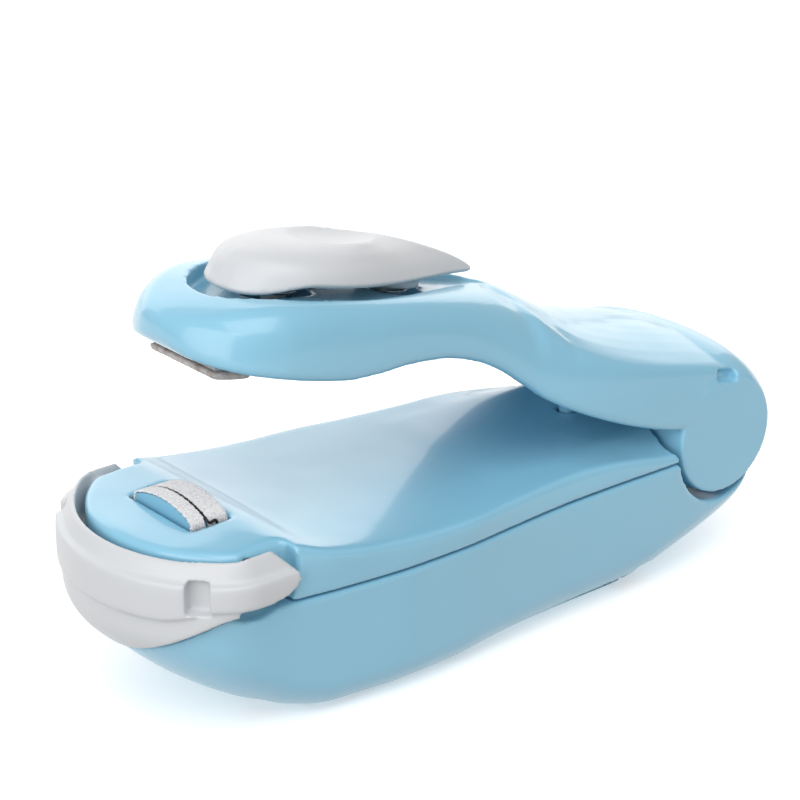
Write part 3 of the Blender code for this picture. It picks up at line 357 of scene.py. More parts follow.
def loft(rings):
    """A closed solid through rings of equal length, with both end rings capped."""
    shape = bmesh.new()
    rows = [[shape.verts.new(point) for point in ring] for ring in rings]
    count = len(rows[0])
    for near, far in zip(rows, rows[1:]):
        for i in range(count):
            j = (i + 1) % count
            shape.faces.new((near[i], near[j], far[j], far[i]))
    for row in (rows[0], rows[-1]):
        middle = shape.verts.new(sum((vert.co for vert in row), Vector()) / count)
        for i in range(count):
            shape.faces.new((row[i], row[(i + 1) % count], middle))
    return solid(shape)


def plate(outline, low, high, along="Y"):
    """A flat outline given thickness along Y or Z; its two numbers are X and the other of the two."""

    def point(pair, depth):
        if along == "Y":
            return (pair[0], depth, pair[1])
        return (pair[0], pair[1], depth)

    shape = bmesh.new()
    near = [shape.verts.new(point(pair, low)) for pair in outline]
    far = [shape.verts.new(point(pair, high)) for pair in outline]
    ends = [shape.faces.new(near), shape.faces.new(far)]
    for i in range(len(outline)):
        j = (i + 1) % len(outline)
        shape.faces.new((near[i], near[j], far[j], far[i]))
    bmesh.ops.triangulate(shape, faces=ends)
    return solid(shape)


def block(low, high, turn_deg=0.0):
    """A box between two corners, turned about its own vertical middle line."""
    shape = bmesh.new()
    bmesh.ops.create_cube(shape, size=1.0)
    low = Vector(low)
    high = Vector(high)
    turn = Matrix.Rotation(math.radians(turn_deg), 3, "Z")
    for vert in shape.verts:
        vert.co = turn @ Vector(vert.co[i] * (high - low)[i] for i in range(3)) + (low + high) / 2
    return solid(shape)


def rod(start, end, radius, sides=48):
    """A round bar."""
    start = Vector(start)
    end = Vector(end)
    shape = bmesh.new()
    bmesh.ops.create_cone(
        shape, cap_ends=True, segments=sides, radius1=radius, radius2=radius, depth=(end - start).length
    )
    turn = Vector((0.0, 0.0, 1.0)).rotation_difference(end - start).to_matrix()
    for vert in shape.verts:
        vert.co = turn @ vert.co + (start + end) / 2
    return solid(shape)


def slab(low_z, high_z):
    """A wide box in two parts along its length, joined a little off the body's middle plane."""
    shape = bmesh.new()
    rows = []
    for z in (low_z, high_z):
        for y in (-31.0, 0.37, 31.0):
            rows.append([shape.verts.new((x, y, z)) for x in (-72.0, 72.0)])
    low_near, low_seam, low_far, high_near, high_seam, high_far = rows
    sides = (
        (low_near, low_seam), (low_seam, low_far), (high_near, high_seam), (high_seam, high_far),
        (low_near, high_near), (low_far, high_far),
    )
    for near, far in sides:
        shape.faces.new((near[0], near[1], far[1], far[0]))
    for i in (0, 1):
        shape.faces.new([row[i] for row in (low_near, low_seam, low_far, high_far, high_seam, high_near)])
    return solid(shape)


def turned(made):
    """A helper turned from the shut lever's place to the open one's."""
    made.data.transform(TO_OPEN)
    return made


def combine(target, operation, *others):
    for other in others:
        step = target.modifiers.new("boolean", "BOOLEAN")
        step.operation = operation
        step.object = other
        step.solver = "MANIFOLD"


def cut(target, *others):
    combine(target, "DIFFERENCE", *others)


def join(target, *others):
    combine(target, "UNION", *others)


def moulding(name, target, body, node, finish, voxel=VOXEL, rounds=6, on_lever=False):
    """Finishes a piece of moulded plastic, its edges rounded by remeshing and smoothing.

    It is turned to a skew angle for the remeshing, so that no edge or face runs along the voxel grid.
    """
    skewed = copy_of(target, "skewed")
    skew = Matrix.Rotation(SKEW_RADIANS, 4, "Z")
    skewed.data.transform(skew)
    remesh = skewed.modifiers.new("remesh", "REMESH")
    remesh.mode = "VOXEL"
    remesh.voxel_size = voxel * 1.0
    remesh.use_smooth_shade = True
    smooth = skewed.modifiers.new("smooth", "SMOOTH")
    smooth.factor = 0.5
    smooth.iterations = rounds
    graph = bpy.context.evaluated_depsgraph_get()
    mesh = bpy.data.meshes.new_from_object(skewed.evaluated_get(graph))
    mesh.transform(skew.inverted())
    if on_lever:
        mesh.transform(TO_OPEN)
    finished(name, mesh, body, node, finish)


def finished(name, mesh, body, node, finish):
    """A mesh in millimetres made a piece in metres, with its finish, body, slot and its CAD node."""
    mesh.transform(Matrix.Scale(MM, 4))
    mesh.name = name
    mesh.materials.clear()
    mesh.materials.append(finish)
    mesh.shade_smooth()
    piece = bpy.data.objects.new(name, mesh)
    pieces.objects.link(piece)
    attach(piece, body)
    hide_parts(node)
    return piece


# Materials. Nearly all of the noise lies between these two values.
NOISE_LOW = 0.3
NOISE_HIGH = 0.7


class Finish:
    """A procedural material under construction."""

    def __init__(self, name, colour, roughness, metallic=0.0, **more):
        self.material = bpy.data.materials.new(name)
        self.material.use_nodes = True
        self.nodes = self.material.node_tree.nodes
        self.links = self.material.node_tree.links
        self.shader = self.nodes["Principled BSDF"]
        self.shader.inputs["Base Color"].default_value = (*colour, 1.0)
        self.shader.inputs["Roughness"].default_value = roughness
        self.shader.inputs["Metallic"].default_value = metallic
        for key, value in more.items():
            self.shader.inputs[key.replace("_", " ")].default_value = value
        self.place = self.nodes.new("ShaderNodeTexCoord").outputs["Object"]

    def noise(self, scale, detail=2.0):
        """Noise over the object, with the scale in features per metre."""
        texture = self.nodes.new("ShaderNodeTexNoise")
        texture.inputs["Scale"].default_value = scale
        texture.inputs["Detail"].default_value = detail
        self.links.new(self.place, texture.inputs["Vector"])
        return texture.outputs["Fac"]

    def roughen(self, source, low, high):
        """A roughness that varies between two values."""
        reach = self.nodes.new("ShaderNodeMapRange")
        reach.inputs["From Min"].default_value = NOISE_LOW
        reach.inputs["From Max"].default_value = NOISE_HIGH
        reach.inputs["To Min"].default_value = low
        reach.inputs["To Max"].default_value = high
        self.links.new(source, reach.inputs["Value"])
        self.links.new(reach.outputs["Result"], self.shader.inputs["Roughness"])

    def tint(self, source, stops):
        """A varying base colour, from (position, colour) stops."""
        ramp = self.nodes.new("ShaderNodeValToRGB")
        ramp.color_ramp.elements[0].position = stops[0][0]
        ramp.color_ramp.elements[0].color = (*stops[0][1], 1.0)
        ramp.color_ramp.elements[1].position = stops[-1][0]
        ramp.color_ramp.elements[1].color = (*stops[-1][1], 1.0)
        for position, colour in stops[1:-1]:
            ramp.color_ramp.elements.new(position).color = (*colour, 1.0)
        self.links.new(source, ramp.inputs["Fac"])
        self.links.new(ramp.outputs["Color"], self.shader.inputs["Base Color"])

    def bump(self, source, distance_mm):
        step = self.nodes.new("ShaderNodeBump")
        step.inputs["Distance"].default_value = distance_mm * MM
        self.links.new(source, step.inputs["Height"])
        self.links.new(step.outputs["Normal"], self.shader.inputs["Normal"])


def shades(colour, dark, light):
    """Three colour stops about one colour."""
    return (
        (NOISE_LOW, tuple(c * dark for c in colour)),
        (0.5, colour),
        (NOISE_HIGH, tuple(min(1.0, c * light) for c in colour)),
    )


def moulded(name, colour, roughness, grain=0.01, **more):
    """Moulded plastic: a faint orange peel, a little colour drift and uneven gloss."""
    made = Finish(name, colour, roughness, **more)
    made.tint(made.noise(35.0), shades(colour, 0.985, 1.015))
    made.roughen(made.noise(160.0, 4.0), roughness * 0.88, roughness * 1.15)
    made.bump(made.noise(420.0, 2.0), grain)
    return made.material


def drawn_metal(name, colour, roughness):
    made = Finish(name, colour, roughness, 1.0)
    made.tint(made.noise(900.0), shades(colour, 0.85, 1.1))
    made.roughen(made.noise(2500.0, 3.0), roughness * 0.8, roughness * 1.4)
    made.bump(made.noise(3000.0), 0.01)
    return made.material


BLUE_COLOUR = (0.255, 0.555, 0.73)
blue = moulded("sky_blue_plastic", BLUE_COLOUR, 0.34, Coat_Weight=0.6, Coat_Roughness=0.1)
white = moulded("white_plastic", (0.63, 0.645, 0.665), 0.36, 0.012)
grey = moulded("grey_plastic", (0.40, 0.42, 0.45), 0.45, 0.02)
black = moulded("black_plastic", (0.03, 0.03, 0.032), 0.45, 0.02)
sleeve = moulded("cell_sleeve", (0.10, 0.12, 0.16), 0.34, 0.01)
red_lead = moulded("red_lead", (0.50, 0.035, 0.03), 0.42, 0.02)
black_lead = moulded("black_lead", (0.02, 0.02, 0.02), 0.42, 0.02)
ferrite = moulded("ferrite", (0.075, 0.075, 0.085), 0.62, 0.03)
steel = drawn_metal("steel", (0.60, 0.60, 0.61), 0.3)
plated = drawn_metal("plated_brass", (0.74, 0.62, 0.38), 0.32)
alloy = drawn_metal("oxidised_alloy", (0.055, 0.052, 0.055), 0.5)


def silicone_finish():
    """Used silicone: a matt grey-brown, uneven in colour."""
    colour = (0.50, 0.44, 0.41)
    made = Finish("jaw_silicone", colour, 0.6)
    stops = (
        (NOISE_LOW, (0.30, 0.24, 0.21)), (0.45, colour), (0.62, (0.62, 0.58, 0.56)),
        (0.72, (0.68, 0.65, 0.64)),
    )
    made.tint(made.noise(700.0, 5.0), stops)
    made.bump(made.noise(1500.0, 4.0), 0.06)
    return made.material


def cloth_finish():
    """Coated glass cloth: bright, matt, with a faint unevenness between its threads."""
    made = Finish("glass_cloth", (0.82, 0.81, 0.82), 0.82)
    stops = ((NOISE_LOW, (0.62, 0.60, 0.62)), (0.46, (0.80, 0.79, 0.80)), (NOISE_HIGH, (0.88, 0.88, 0.88)))
    made.tint(made.noise(3200.0, 3.0), stops)
    made.bump(made.noise(5000.0, 3.0), 0.06)
    return made.material


silicone = silicone_finish()
cloth = cloth_finish()


# The lower body's outside, from nose to tail.
def body_half_ring(x, inset=0.0):
    """The right half of the lower body's section, from mid-underside to mid-deck."""
    bottom = bottom_height(x) + inset
    width = body_width(x)
    low_width = max(width - 0.7, 0.6 * width) - inset
    across = min(corner_across(x), low_width * 0.98)
    up = corner_up(x)
    edge_width = max(deck_width(x), 0.8) - inset
    edge = deck_height(x) - inset
    spine = max(0.0, SPINE_TOP - inset - edge) * smoothstep(2.0, 8.0, x)
    crown = 0.5 - 0.25 * smoothstep(-37.0, -29.0, x)
    ring = [(x, 0.0, bottom), (x, (low_width - across) * 0.6, bottom)]
    for i in range(9):
        a = math.pi / 2 * i / 8
        ring.append((x, low_width - across + across * math.sin(a), bottom + up * (1 - math.cos(a))))
    ring.append((x, width - inset, PARTING_Z))
    bevel = min(0.9, 0.12 * edge_width)
    ring.append((x, edge_width, edge - 0.9))
    ring.append((x, edge_width - 0.28 * bevel, edge - 0.25))
    ring.append((x, edge_width - bevel, edge))
    for share in (0.86, 0.75, 0.64, 0.35):
        y = edge_width * share
        rise = spine * (1 - smoothstep(SPINE_HALF, SPINE_HALF + 3.6, y)) + crown * (1 - share * share)
        ring.append((x, y, edge + rise))
    ring.append((x, 0.0, edge + spine + crown))
    return ring


def body_form(stations, inset=0.0, smooth=2):
    """The lower body as one solid, or its inside when it is inset."""
    return loft([soften(both_sides(body_half_ring(x, inset)), smooth) for x in stations])


# The nose: a straight-sided platform with a round front, and every outline parallel to it.
def nose_path():
    """Points round the nose from the right arm to the left one, each with the outward direction there."""
    corner_x = -27.7 - math.sqrt((NOSE_ARC - NOSE_CORNER) ** 2 - (NOSE_HALF - NOSE_CORNER) ** 2)
    corner_y = NOSE_HALF - NOSE_CORNER
    middle_x = NOSE_FRONT + NOSE_ARC
    meet = math.atan2(corner_y, middle_x - corner_x)
    half = [(mix(ARM_END_X, -36.0, i / 6), NOSE_HALF, 0.0, 1.0) for i in range(7)]
    for i in range(17):
        a = math.pi / 2 + (meet - math.pi / 2) * i / 16
        out = (-math.cos(a), math.sin(a))
        half.append((corner_x + NOSE_CORNER * out[0], corner_y + NOSE_CORNER * out[1], *out))
    for i in range(1, 31):
        a = meet * (1 - i / 30)
        out = (-math.cos(a), math.sin(a))
        half.append((middle_x + NOSE_ARC * out[0], NOSE_ARC * out[1], *out))
    other = [(x, -y, out_x, -out_y) for x, y, out_x, out_y in half[:-1]]
    return other + half[::-1]


def band_bottom(x):
    """Height of the lower edge of the guard's band, which drops towards the front."""
    return 17.3 + 1.8 * smoothstep(-45.5, -40.5, x)


def skirt_bottom(x, y):
    """Height of the lower edge of the guard's chin, deepest in the middle."""
    return min(10.4 + 7.4 * (abs(y) / 15.0) ** 1.85, band_bottom(x) - 0.2)


def chin_out(z):
    """How far the guard's chin stands outside the nose at a height."""
    return 3.3 - 3.0 * max(0.0, (17.0 - z) / 6.7) ** 3.2


def guard_section(x, y):
    """The guard's cross-section as (distance outside the nose, height), from the inner top edge outwards."""
    band = band_bottom(x)
    low = skirt_bottom(x, y)
    rise = 0.4 * smoothstep(-45.0, -36.5, x)
    section = [(1.1, 24.6 + rise), (1.5, 24.7 + rise), (2.5, 23.2 + 0.5 * rise), (2.75, 22.7 + 0.3 * rise)]
    section += [(2.95, 22.55 + 0.25 * rise), (3.55, 22.5 + 0.2 * rise), (3.8, 22.1), (3.77, band + 0.25)]
    section += [(3.72, band + 0.12), (3.3, band)]
    for i in range(1, 9):
        z = band - 0.1 + (low - band + 0.1) * i / 8
        section.append((min(3.25, chin_out(z)), z))
    for i in range(8):
        z = low + 0.1 + (band - low) * i / 8
        section.append((min(0.5, chin_out(z) - 1.7), z))
    section.append((0.5, band + 0.8))
    return section


def guard_room_section(x, y):
    """The space cut from the body for the guard, a little larger than the guard inwards and downwards."""
    low = skirt_bottom(x, y) - 0.45
    floor = min(low, band_bottom(x) - 0.5)
    section = [(-0.9, 40.0), (12.0, 40.0), (12.0, floor)]
    for i in range(5):
        z = floor + (17.2 - floor) * i / 4 if floor < 17.0 else floor + 0.1 * i
        section.append((min(0.0, chin_out(z) - 2.2), z))
    section += [(0.0, 24.2), (-0.3, 24.75), (-0.9, 25.0)]
    return section


def sweep_nose(section_at, smooth=0):
    """A section carried round the nose."""
    rings = []
    for x, y, out_x, out_y in nose_path():
        section = soften(section_at(x, y), smooth)
        rings.append([(x + k * out_x, y + k * out_y, z) for k, z in section])
    return loft(rings)


# The lever's rear end.
def barrel_radius(y, angle_deg):
    """The barrel's radius about the hinge, larger at its top and back than below."""
    share = abs(y) / CHEEK_FACE
    high = 12.0 - 2.7 * share**2.4 - 0.9 * share**9
    low = 9.3 - 0.9 * share**2.4
    if angle_deg > 180.0:
        angle_deg -= 360.0
    upper = smoothstep(-55.0, 5.0, angle_deg) * (1 - smoothstep(100.0, 170.0, angle_deg))
    return low + (high - low) * upper


def barrel(grow=0.0, half=CHEEK_FACE):
    """The barrel, or the room that it needs, grown outwards and as wide as asked."""
    steps = 56
    sides = 120
    rings = []
    for i in range(steps + 1):
        y = half * math.sin(math.pi / 2 * (2 * i / steps - 1))
        ring = []
        for j in range(sides):
            angle = 360.0 * j / sides
            radius = barrel_radius(min(abs(y), CHEEK_FACE), angle) + grow
            a = math.radians(angle)
            ring.append((HINGE.x + radius * math.cos(a), y, HINGE.z + radius * math.sin(a)))
        rings.append(ring)
    return loft(rings)


def underside(x, y):
    """Height of the lower body's outside at a point of its underside."""
    width = body_width(x)
    low_width = max(width - 0.7, 0.6 * width)
    across = min(corner_across(x), low_width * 0.98)
    past = max(0.0, abs(y) - (low_width - across)) / across
    return bottom_height(x) + corner_up(x) * (1 - math.sqrt(max(0.0, 1 - past * past)))


def pivot_rod(side, start_y, end_y, radius, sides=48):
    """A round bar on the axis that the guard turns about."""
    start = (GUARD_PIVOT_X, side * start_y, GUARD_PIVOT_Z)
    return rod(start, (GUARD_PIVOT_X, side * end_y, GUARD_PIVOT_Z), radius, sides)


def add_screw_posts(shell, cover):
    """The posts that hold the case screws, bored from below and countersunk in the shell."""
    post_radius = 2.4
    for x, y in SCREW_PLACES:
        floor = max(underside(x + a, y + b) for a, b in circle((0.0, 0.0), post_radius, 12))
        join(shell, rod((x, y, floor + 0.3), (x, y, 12.0), post_radius))
        screw_bore = rod((x, y, floor - 3.0), (x, y, 13.0), 1.2)
        head_room = rod((x, y, floor - 5.0), (x, y, floor + 2.4), 2.2)
        cut(shell, screw_bore, head_room)
        join(cover, rod((x, y, 12.4), (x, y, deck_height(x) - 1.0), 1.8))
        cut(cover, rod((x, y, 12.0), (x, y, 17.8), 1.15))


def add_hinge_ears(cover):
    """The two ears that carry the hinge pin."""
    for side in SIDES:
        low, high = sorted((side * EAR_INNER, side * EAR_OUTER))
        disc = circle((HINGE.x, HINGE.z), EAR_RADIUS, 40, 100.0, -120.0, closed=False)
        web = [(33.4, 17.9), (29.6, 17.9), (29.6, 20.4), (37.0, 22.4)]
        join(cover, plate(web + disc, low, high))
    cut(cover, rod((HINGE.x, -12, HINGE.z), (HINGE.x, 12, HINGE.z), PIN_BORE))


def make_base():
    guard_room = sweep_nose(guard_room_section)
    arm_rooms = [pivot_rod(side, 30, NOSE_HALF, STEP_RADIUS, 96) for side in SIDES]
    lever_room = turned(barrel(NOTCH_GAP, 25.0))
    wall_room = turned(barrel(NOTCH_GAP + WALL, 26.0))
    cavity = body_form(fine(CAVITY_STATIONS, 3), WALL, 0)
    right = [(-30.3, -13.4), (-38.0, -13.4), (-41.3, -10.9), (-43.2, -7.5)]
    nose_plan = right + [(x, -y) for x, y in reversed(right)]
    join(cavity, plate(nose_plan, 9.0, 21.6, "Z"), block((-36.6, -12.3, 4.7), (-30.5, 12.3, 10.0)))
    cut(cavity, wall_room)
    hollow = copy_of(cavity, "hollow")

    stations = fine(BODY_STATIONS, 5)
    shell = body_form(stations)
    cover = body_form(stations)
    cut(shell, slab(PARTING_Z - PARTING_GAP / 2, 60.0))
    cut(cover, slab(-10.0, PARTING_Z + PARTING_GAP / 2))
    for piece in (shell, cover):
        cut(piece, hollow, guard_room, *arm_rooms, lever_room)
    for side in SIDES:
        low, high = sorted((side * NOSE_HALF, side * 30.0))
        cut(cover, block((-60, low, GUARD_PIVOT_Z), (-32.4, high, 40)))
        cut(cover, pivot_rod(side, 11.0, 20.0, 1.6))
    opening_low = (DOOR_FRONT_X - 0.3, -DOOR_HALF_Y - 0.3, -5)
    cut(shell, block(opening_low, (DOOR_REAR_X + 0.6, DOOR_HALF_Y + 0.3, 5)))
    add_screw_posts(shell, cover)
    add_hinge_ears(cover)
    slot_half_x = HEATER_HALF_X + 0.5
    slot_half_y = HEATER_HALF_Y + 1.0
    slot_low = (HEATER_X - slot_half_x, -slot_half_y, 20.0)
    cut(cover, block(slot_low, (HEATER_X + slot_half_x, slot_half_y, 30.0)))
    cut(cover, rod((SWITCH_X, 0, 10), (SWITCH_X, 0, 30), 1.5))
    moulding("lower_shell_moulding", shell, "base", "base_shell", blue)
    moulding("deck_moulding", cover, "base", "deck_cover", blue)


def make_guard():
    guard = sweep_nose(guard_section, 1)
    side_view = [(-60.0, 5.0), (-41.5, 5.0), (-41.0, 19.0), (-37.3, 19.1), (-34.6, 19.6), (-33.2, 20.5)]
    side_view += [(-32.7, 21.4), (-33.0, 22.5), (-34.9, 24.4), (-35.8, 25.6), (-60.0, 30.0)]
    combine(guard, "INTERSECT", plate(side_view, -30, 30))
    for side in SIDES:
        join(guard, pivot_rod(side, 14.3, 16.6, 1.4))
        window_middle = Vector((-46.0, side * 15.9, 20.6))
        window_half = Vector((1.5, 3.0, 2.1))
        cut(guard, block(window_middle - window_half, window_middle + window_half, side * 50.0))
    moulding("guard_moulding", guard, "guard", "guard", white, FINE_VOXEL, 5)


# The lever, shaped shut.
def lever_half_ring(x):
    """The right half of the lever's section, from the middle of its top to the middle of its underside."""
    top = lever_top(x)
    bottom = lever_bottom(x)
    width = lever_width(x)
    shoulder = min(shoulder_width(x), width * 0.97)
    shoulder_z = top - shoulder_drop(x)
    lip = bottom + min(1.2, (top - bottom) * 0.35)
    ring = []
    for share in (0.0, 0.35, 0.7):
        ring.append((x, shoulder * share, top - shoulder_drop(x) * share**2))
    control = (shoulder + 0.94 * (width - shoulder), shoulder_z - 0.1 * (shoulder_z - lip))
    for i in range(12):
        t = i / 11
        y = (1 - t) ** 2 * shoulder + 2 * t * (1 - t) * control[0] + t * t * width
        z = (1 - t) ** 2 * shoulder_z + 2 * t * (1 - t) * control[1] + t * t * lip
        ring.append((x, y, z))
    ring.append((x, width - 0.15, (lip + bottom) / 2))
    ring.append((x, max(width - 0.7, width * 0.7), bottom))
    ring.append((x, 0.0, bottom))
    return ring


def lever_cavity_ring(x):
    """The right half of the hollow under the lever, open below."""
    ceiling = min(lever_top(x) - shoulder_drop(x) - WALL + 0.6, RECESS_FLOOR_Z - WALL + 0.1)
    width = lever_width(x) - WALL - 0.3
    shoulder_z = min(ceiling - 0.7, lever_bottom(x) + 2.7)
    return [
        (x, 0.0, ceiling), (x, width - 4.6, ceiling), (x, width - 1.2, ceiling - 0.5), (x, width, shoulder_z),
        (x, width, 0.0), (x, 0.0, 0.0),
    ]


def teardrop(front_x, tip_x, half):
    """A plan outline, round in front and drawn out to a point at the rear."""
    count = 48
    right = []
    for i in range(count + 1):
        u = i / count
        u = 0.6 * u * u * (3 - 2 * u) + 0.4 * u
        nose = math.sqrt(1 - (1 - min(u / 0.34, 1.0)) ** 2.2)
        tail = (1 - smoothstep(0.32, 1.08, u)) ** 0.85
        right.append((front_x + (tip_x - front_x) * u, half * nose * tail))
    right[-1] = (tip_x, 0.0)
    return right + [(x, -y) for x, y in reversed(right[1:-1])]


def pad_drop(x):
    """How far the pad's lower edge hangs below its level rear part."""
    return PAD_DROP * (1 - smoothstep(-35.5, -27.0, x))


def pad_ledge():
    """The raised floor round the pad's stems, sloping down in front, with a well at each stem."""
    rings = []
    for x in fine((-41.0, -36.0, -30.0, -26.0, 10.0), 6):
        top = LEDGE_Z - pad_drop(x)
        rings.append([(x, -12.0, 33.5), (x, 12.0, 33.5), (x, 12.0, top), (x, -12.0, top)])
    ledge = loft(rings)
    combine(ledge, "INTERSECT", plate(teardrop(-39.0, 8.8, 10.6), 30.0, 60.0, "Z"))
    for x in STEM_X:
        cut(ledge, rod((x, 0, 30.0), (x, 0, 60.0), WELL_RADIUS))
    return ledge


def make_lever():
    lever = loft([soften(both_sides(lever_half_ring(x))) for x in fine(LEVER_STATIONS, 6)])
    join(lever, barrel())
    stations = (
        -41.0, -38.5, -34.0, -27.0, -20.0, -14.0, -8.0, -3.0, 2.0, 6.0, 10.0, 14.0, 18.0, 24.0, 30.0, 33.6,
    )
    cavity = loft([both_sides(lever_cavity_ring(x)) for x in fine(stations, 3)])
    back = circle((HINGE.x, HINGE.z), 10.0, 30, 90.0, -30.0, closed=False)
    hub_outline = [(32.8, 28.9), (38.0, 28.9)] + back + [(56.0, 8.0), (32.8, 8.0)]
    cut(lever, cavity, plate(hub_outline, -CHEEK_INNER, CHEEK_INNER))
    cut(lever, rod((HINGE.x, -14.6, HINGE.z), (HINGE.x, 14.6, HINGE.z), PIN_BORE))
    cut(lever, plate(teardrop(-38.6, 8.4, 10.2), RECESS_FLOOR_Z, 60.0, "Z"))
    join(lever, pad_ledge())
    for x in STEM_X:
        cut(lever, rod((x, 0, 20), (x, 0, 60), STEM_BORE))
    join(lever, block((SWITCH_X - 1.6, -1.6, 22.1), (SWITCH_X + 1.6, 1.6, 30.8)))
    for side in SIDES:
        low, high = sorted((side * 14.6, side * 16.6))
        cut(lever, block((39.4, low, 26.7), (43.0, high, 28.3)))
        x, y = LINER_SCREW_X, side * LINER_SCREW_Y
        join(lever, rod((x, y, 31.6), (x, y, 34.0), 2.2))
        cut(lever, rod((x, y, 31.0), (x, y, 33.6), 1.0))
    moulding("lever_moulding", lever, "lever", "lever_shell", blue, LEVER_VOXEL, 4, True)


def make_pad():
    pad_front = through(PAD_FRONT)
    pad_inset = through(PAD_INSET)
    rings = []
    for height in fine([level for level, _ in PAD_INSET], 5):
        inset = pad_inset(height)
        share = max(0.0, height - 38.6) / 4.9
        tip = 5.4 - inset - 12.5 * share**1.4
        hang = 1 - smoothstep(39.0, 41.4, height)
        ring = teardrop(pad_front(height), tip, 9.2 - inset)
        rings.append([(x, y, height - hang * pad_drop(x)) for x, y in ring])
    pad = loft(rings)
    dish = bmesh.new()
    bmesh.ops.create_uvsphere(dish, u_segments=96, v_segments=64, radius=1.0)
    for vert in dish.verts:
        vert.co = DISH_MIDDLE + vert.co * DISH_RADII
    cut(pad, solid(dish))
    for x in STEM_X:
        join(pad, rod((x, 0, 37.0), (x, 0, 39.2), BOSS_RADIUS))
        cut(pad, rod((x, 0, 36.0), (x, 0, 40.4), 3.1))
        join(pad, rod((x, 0, 32.0), (x, 0, 41.5), STEM_RADIUS))
    moulding("press_pad_moulding", pad, "pad", "thumb_pad", white, FINE_VOXEL, on_lever=True)


def make_door():
    door = body_form(fine([x for x in BODY_STATIONS if -35 < x < 35], 5))
    outline = block((DOOR_FRONT_X, -DOOR_HALF_Y, -2), (DOOR_REAR_X, DOOR_HALF_Y, 1.75))
    combine(door, "INTERSECT", outline)
    for i in range(4):
        x = -23.5 + 1.6 * i
        cut(door, block((x, -5.0, -1.0), (x + 0.8, 5.0, 0.35)))
    moulding("door_moulding", door, "door", "battery_door", blue, FINE_VOXEL, 3)


# The heater's cloth strips, its wire, and the jaw above it.
def arch(y):
    """Height of the heater's arched top."""
    share = min(abs(y) / HEATER_HALF_Y, 1.0)
    return HEATER_CROWN_Z - (HEATER_CROWN_Z - HEATER_END_Z) * share**2


def strip_path(count, lift):
    """Points across the arch and down both ends, as (y, z), at a distance above the heater."""
    half = HEATER_HALF_Y
    corner = 0.55
    right = [(y, arch(y) + lift) for y in np.linspace(0.0, half - corner, 60)]
    for a in np.linspace(0.0, math.pi / 2, 12)[1:]:
        y = half - corner + (corner + lift) * math.sin(a)
        z = arch(half - corner) - corner + (corner + lift) * math.cos(a)
        right.append((y, z - 0.25 * math.sin(a)))
    last_z = right[-1][1]
    right += [(half + lift, z) for z in np.linspace(last_z, 23.4, 14)[1:]]
    whole = [(-y, z) for y, z in reversed(right[1:])] + right
    lengths = np.concatenate([[0.0], np.cumsum([math.dist(a, b) for a, b in zip(whole, whole[1:])])])
    at = np.linspace(0.0, lengths[-1], count)
    ys = np.interp(at, lengths, [p[0] for p in whole])
    zs = np.interp(at, lengths, [p[1] for p in whole])
    return list(zip(ys, zs))


def tube(shape, points, radius, sides):
    """A thin closed tube through points, added to a bmesh."""
    rings = []
    for i, point in enumerate(points):
        before = Vector(points[max(i - 1, 0)])
        after = Vector(points[min(i + 1, len(points) - 1)])
        direction = (after - before).normalized()
        side = direction.orthogonal().normalized()
        up = direction.cross(side)
        size = radius * (0.6 if i == len(points) - 1 else 1.0)
        rings.append([
            shape.verts.new(Vector(point) + (side * math.cos(a) + up * math.sin(a)) * size)
            for a in (2 * math.pi * j / sides for j in range(sides))
        ])
    for near, far in zip(rings, rings[1:]):
        for j in range(sides):
            k = (j + 1) % sides
            shape.faces.new((near[j], near[k], far[k], far[j]))
    shape.faces.new(rings[0][::-1])
    shape.faces.new(rings[-1])


def add_cloth(shape, low_x, high_x, seed):
    """A thin woven sheet over the arch, added to a bmesh; the seed shifts its ragged edges."""
    across = 26
    along = 190
    outer = strip_path(along, CLOTH_TOP)
    inner = strip_path(along, CLOTH_UNDER)
    grid = []
    for i in range(along):
        row = []
        for j in range(across + 1):
            u = j / across
            ragged = 0.09 * math.sin(0.9 * i + seed) * math.sin(0.37 * i) * abs(2 * u - 1) ** 6
            x = mix(low_x, high_x, u) + ragged * (1 if u > 0.5 else -1)
            weave = 0.055 * math.sin(math.pi * i / 2.0) * math.sin(math.pi * j / 2.0 + math.pi * (i % 2))
            y, z = outer[i]
            inner_y, inner_z = inner[i]
            out = Vector((0.0, y - inner_y, z - inner_z)).normalized()
            top = Vector((x, y, z)) + out * weave
            row.append((shape.verts.new(top), shape.verts.new((x, inner_y, inner_z))))
        grid.append(row)
    for i in range(along - 1):
        for j in range(across):
            for layer in (0, 1):
                corners = [grid[i][j], grid[i][j + 1], grid[i + 1][j + 1], grid[i + 1][j]]
                shape.faces.new([corner[layer] for corner in corners])
    for i in range(along - 1):
        for j in (0, across):
            near, far = grid[i][j], grid[i + 1][j]
            shape.faces.new((near[0], near[1], far[1], far[0]))
    for j in range(across):
        for i in (0, along - 1):
            near, far = grid[i][j], grid[i][j + 1]
            shape.faces.new((near[0], near[1], far[1], far[0]))


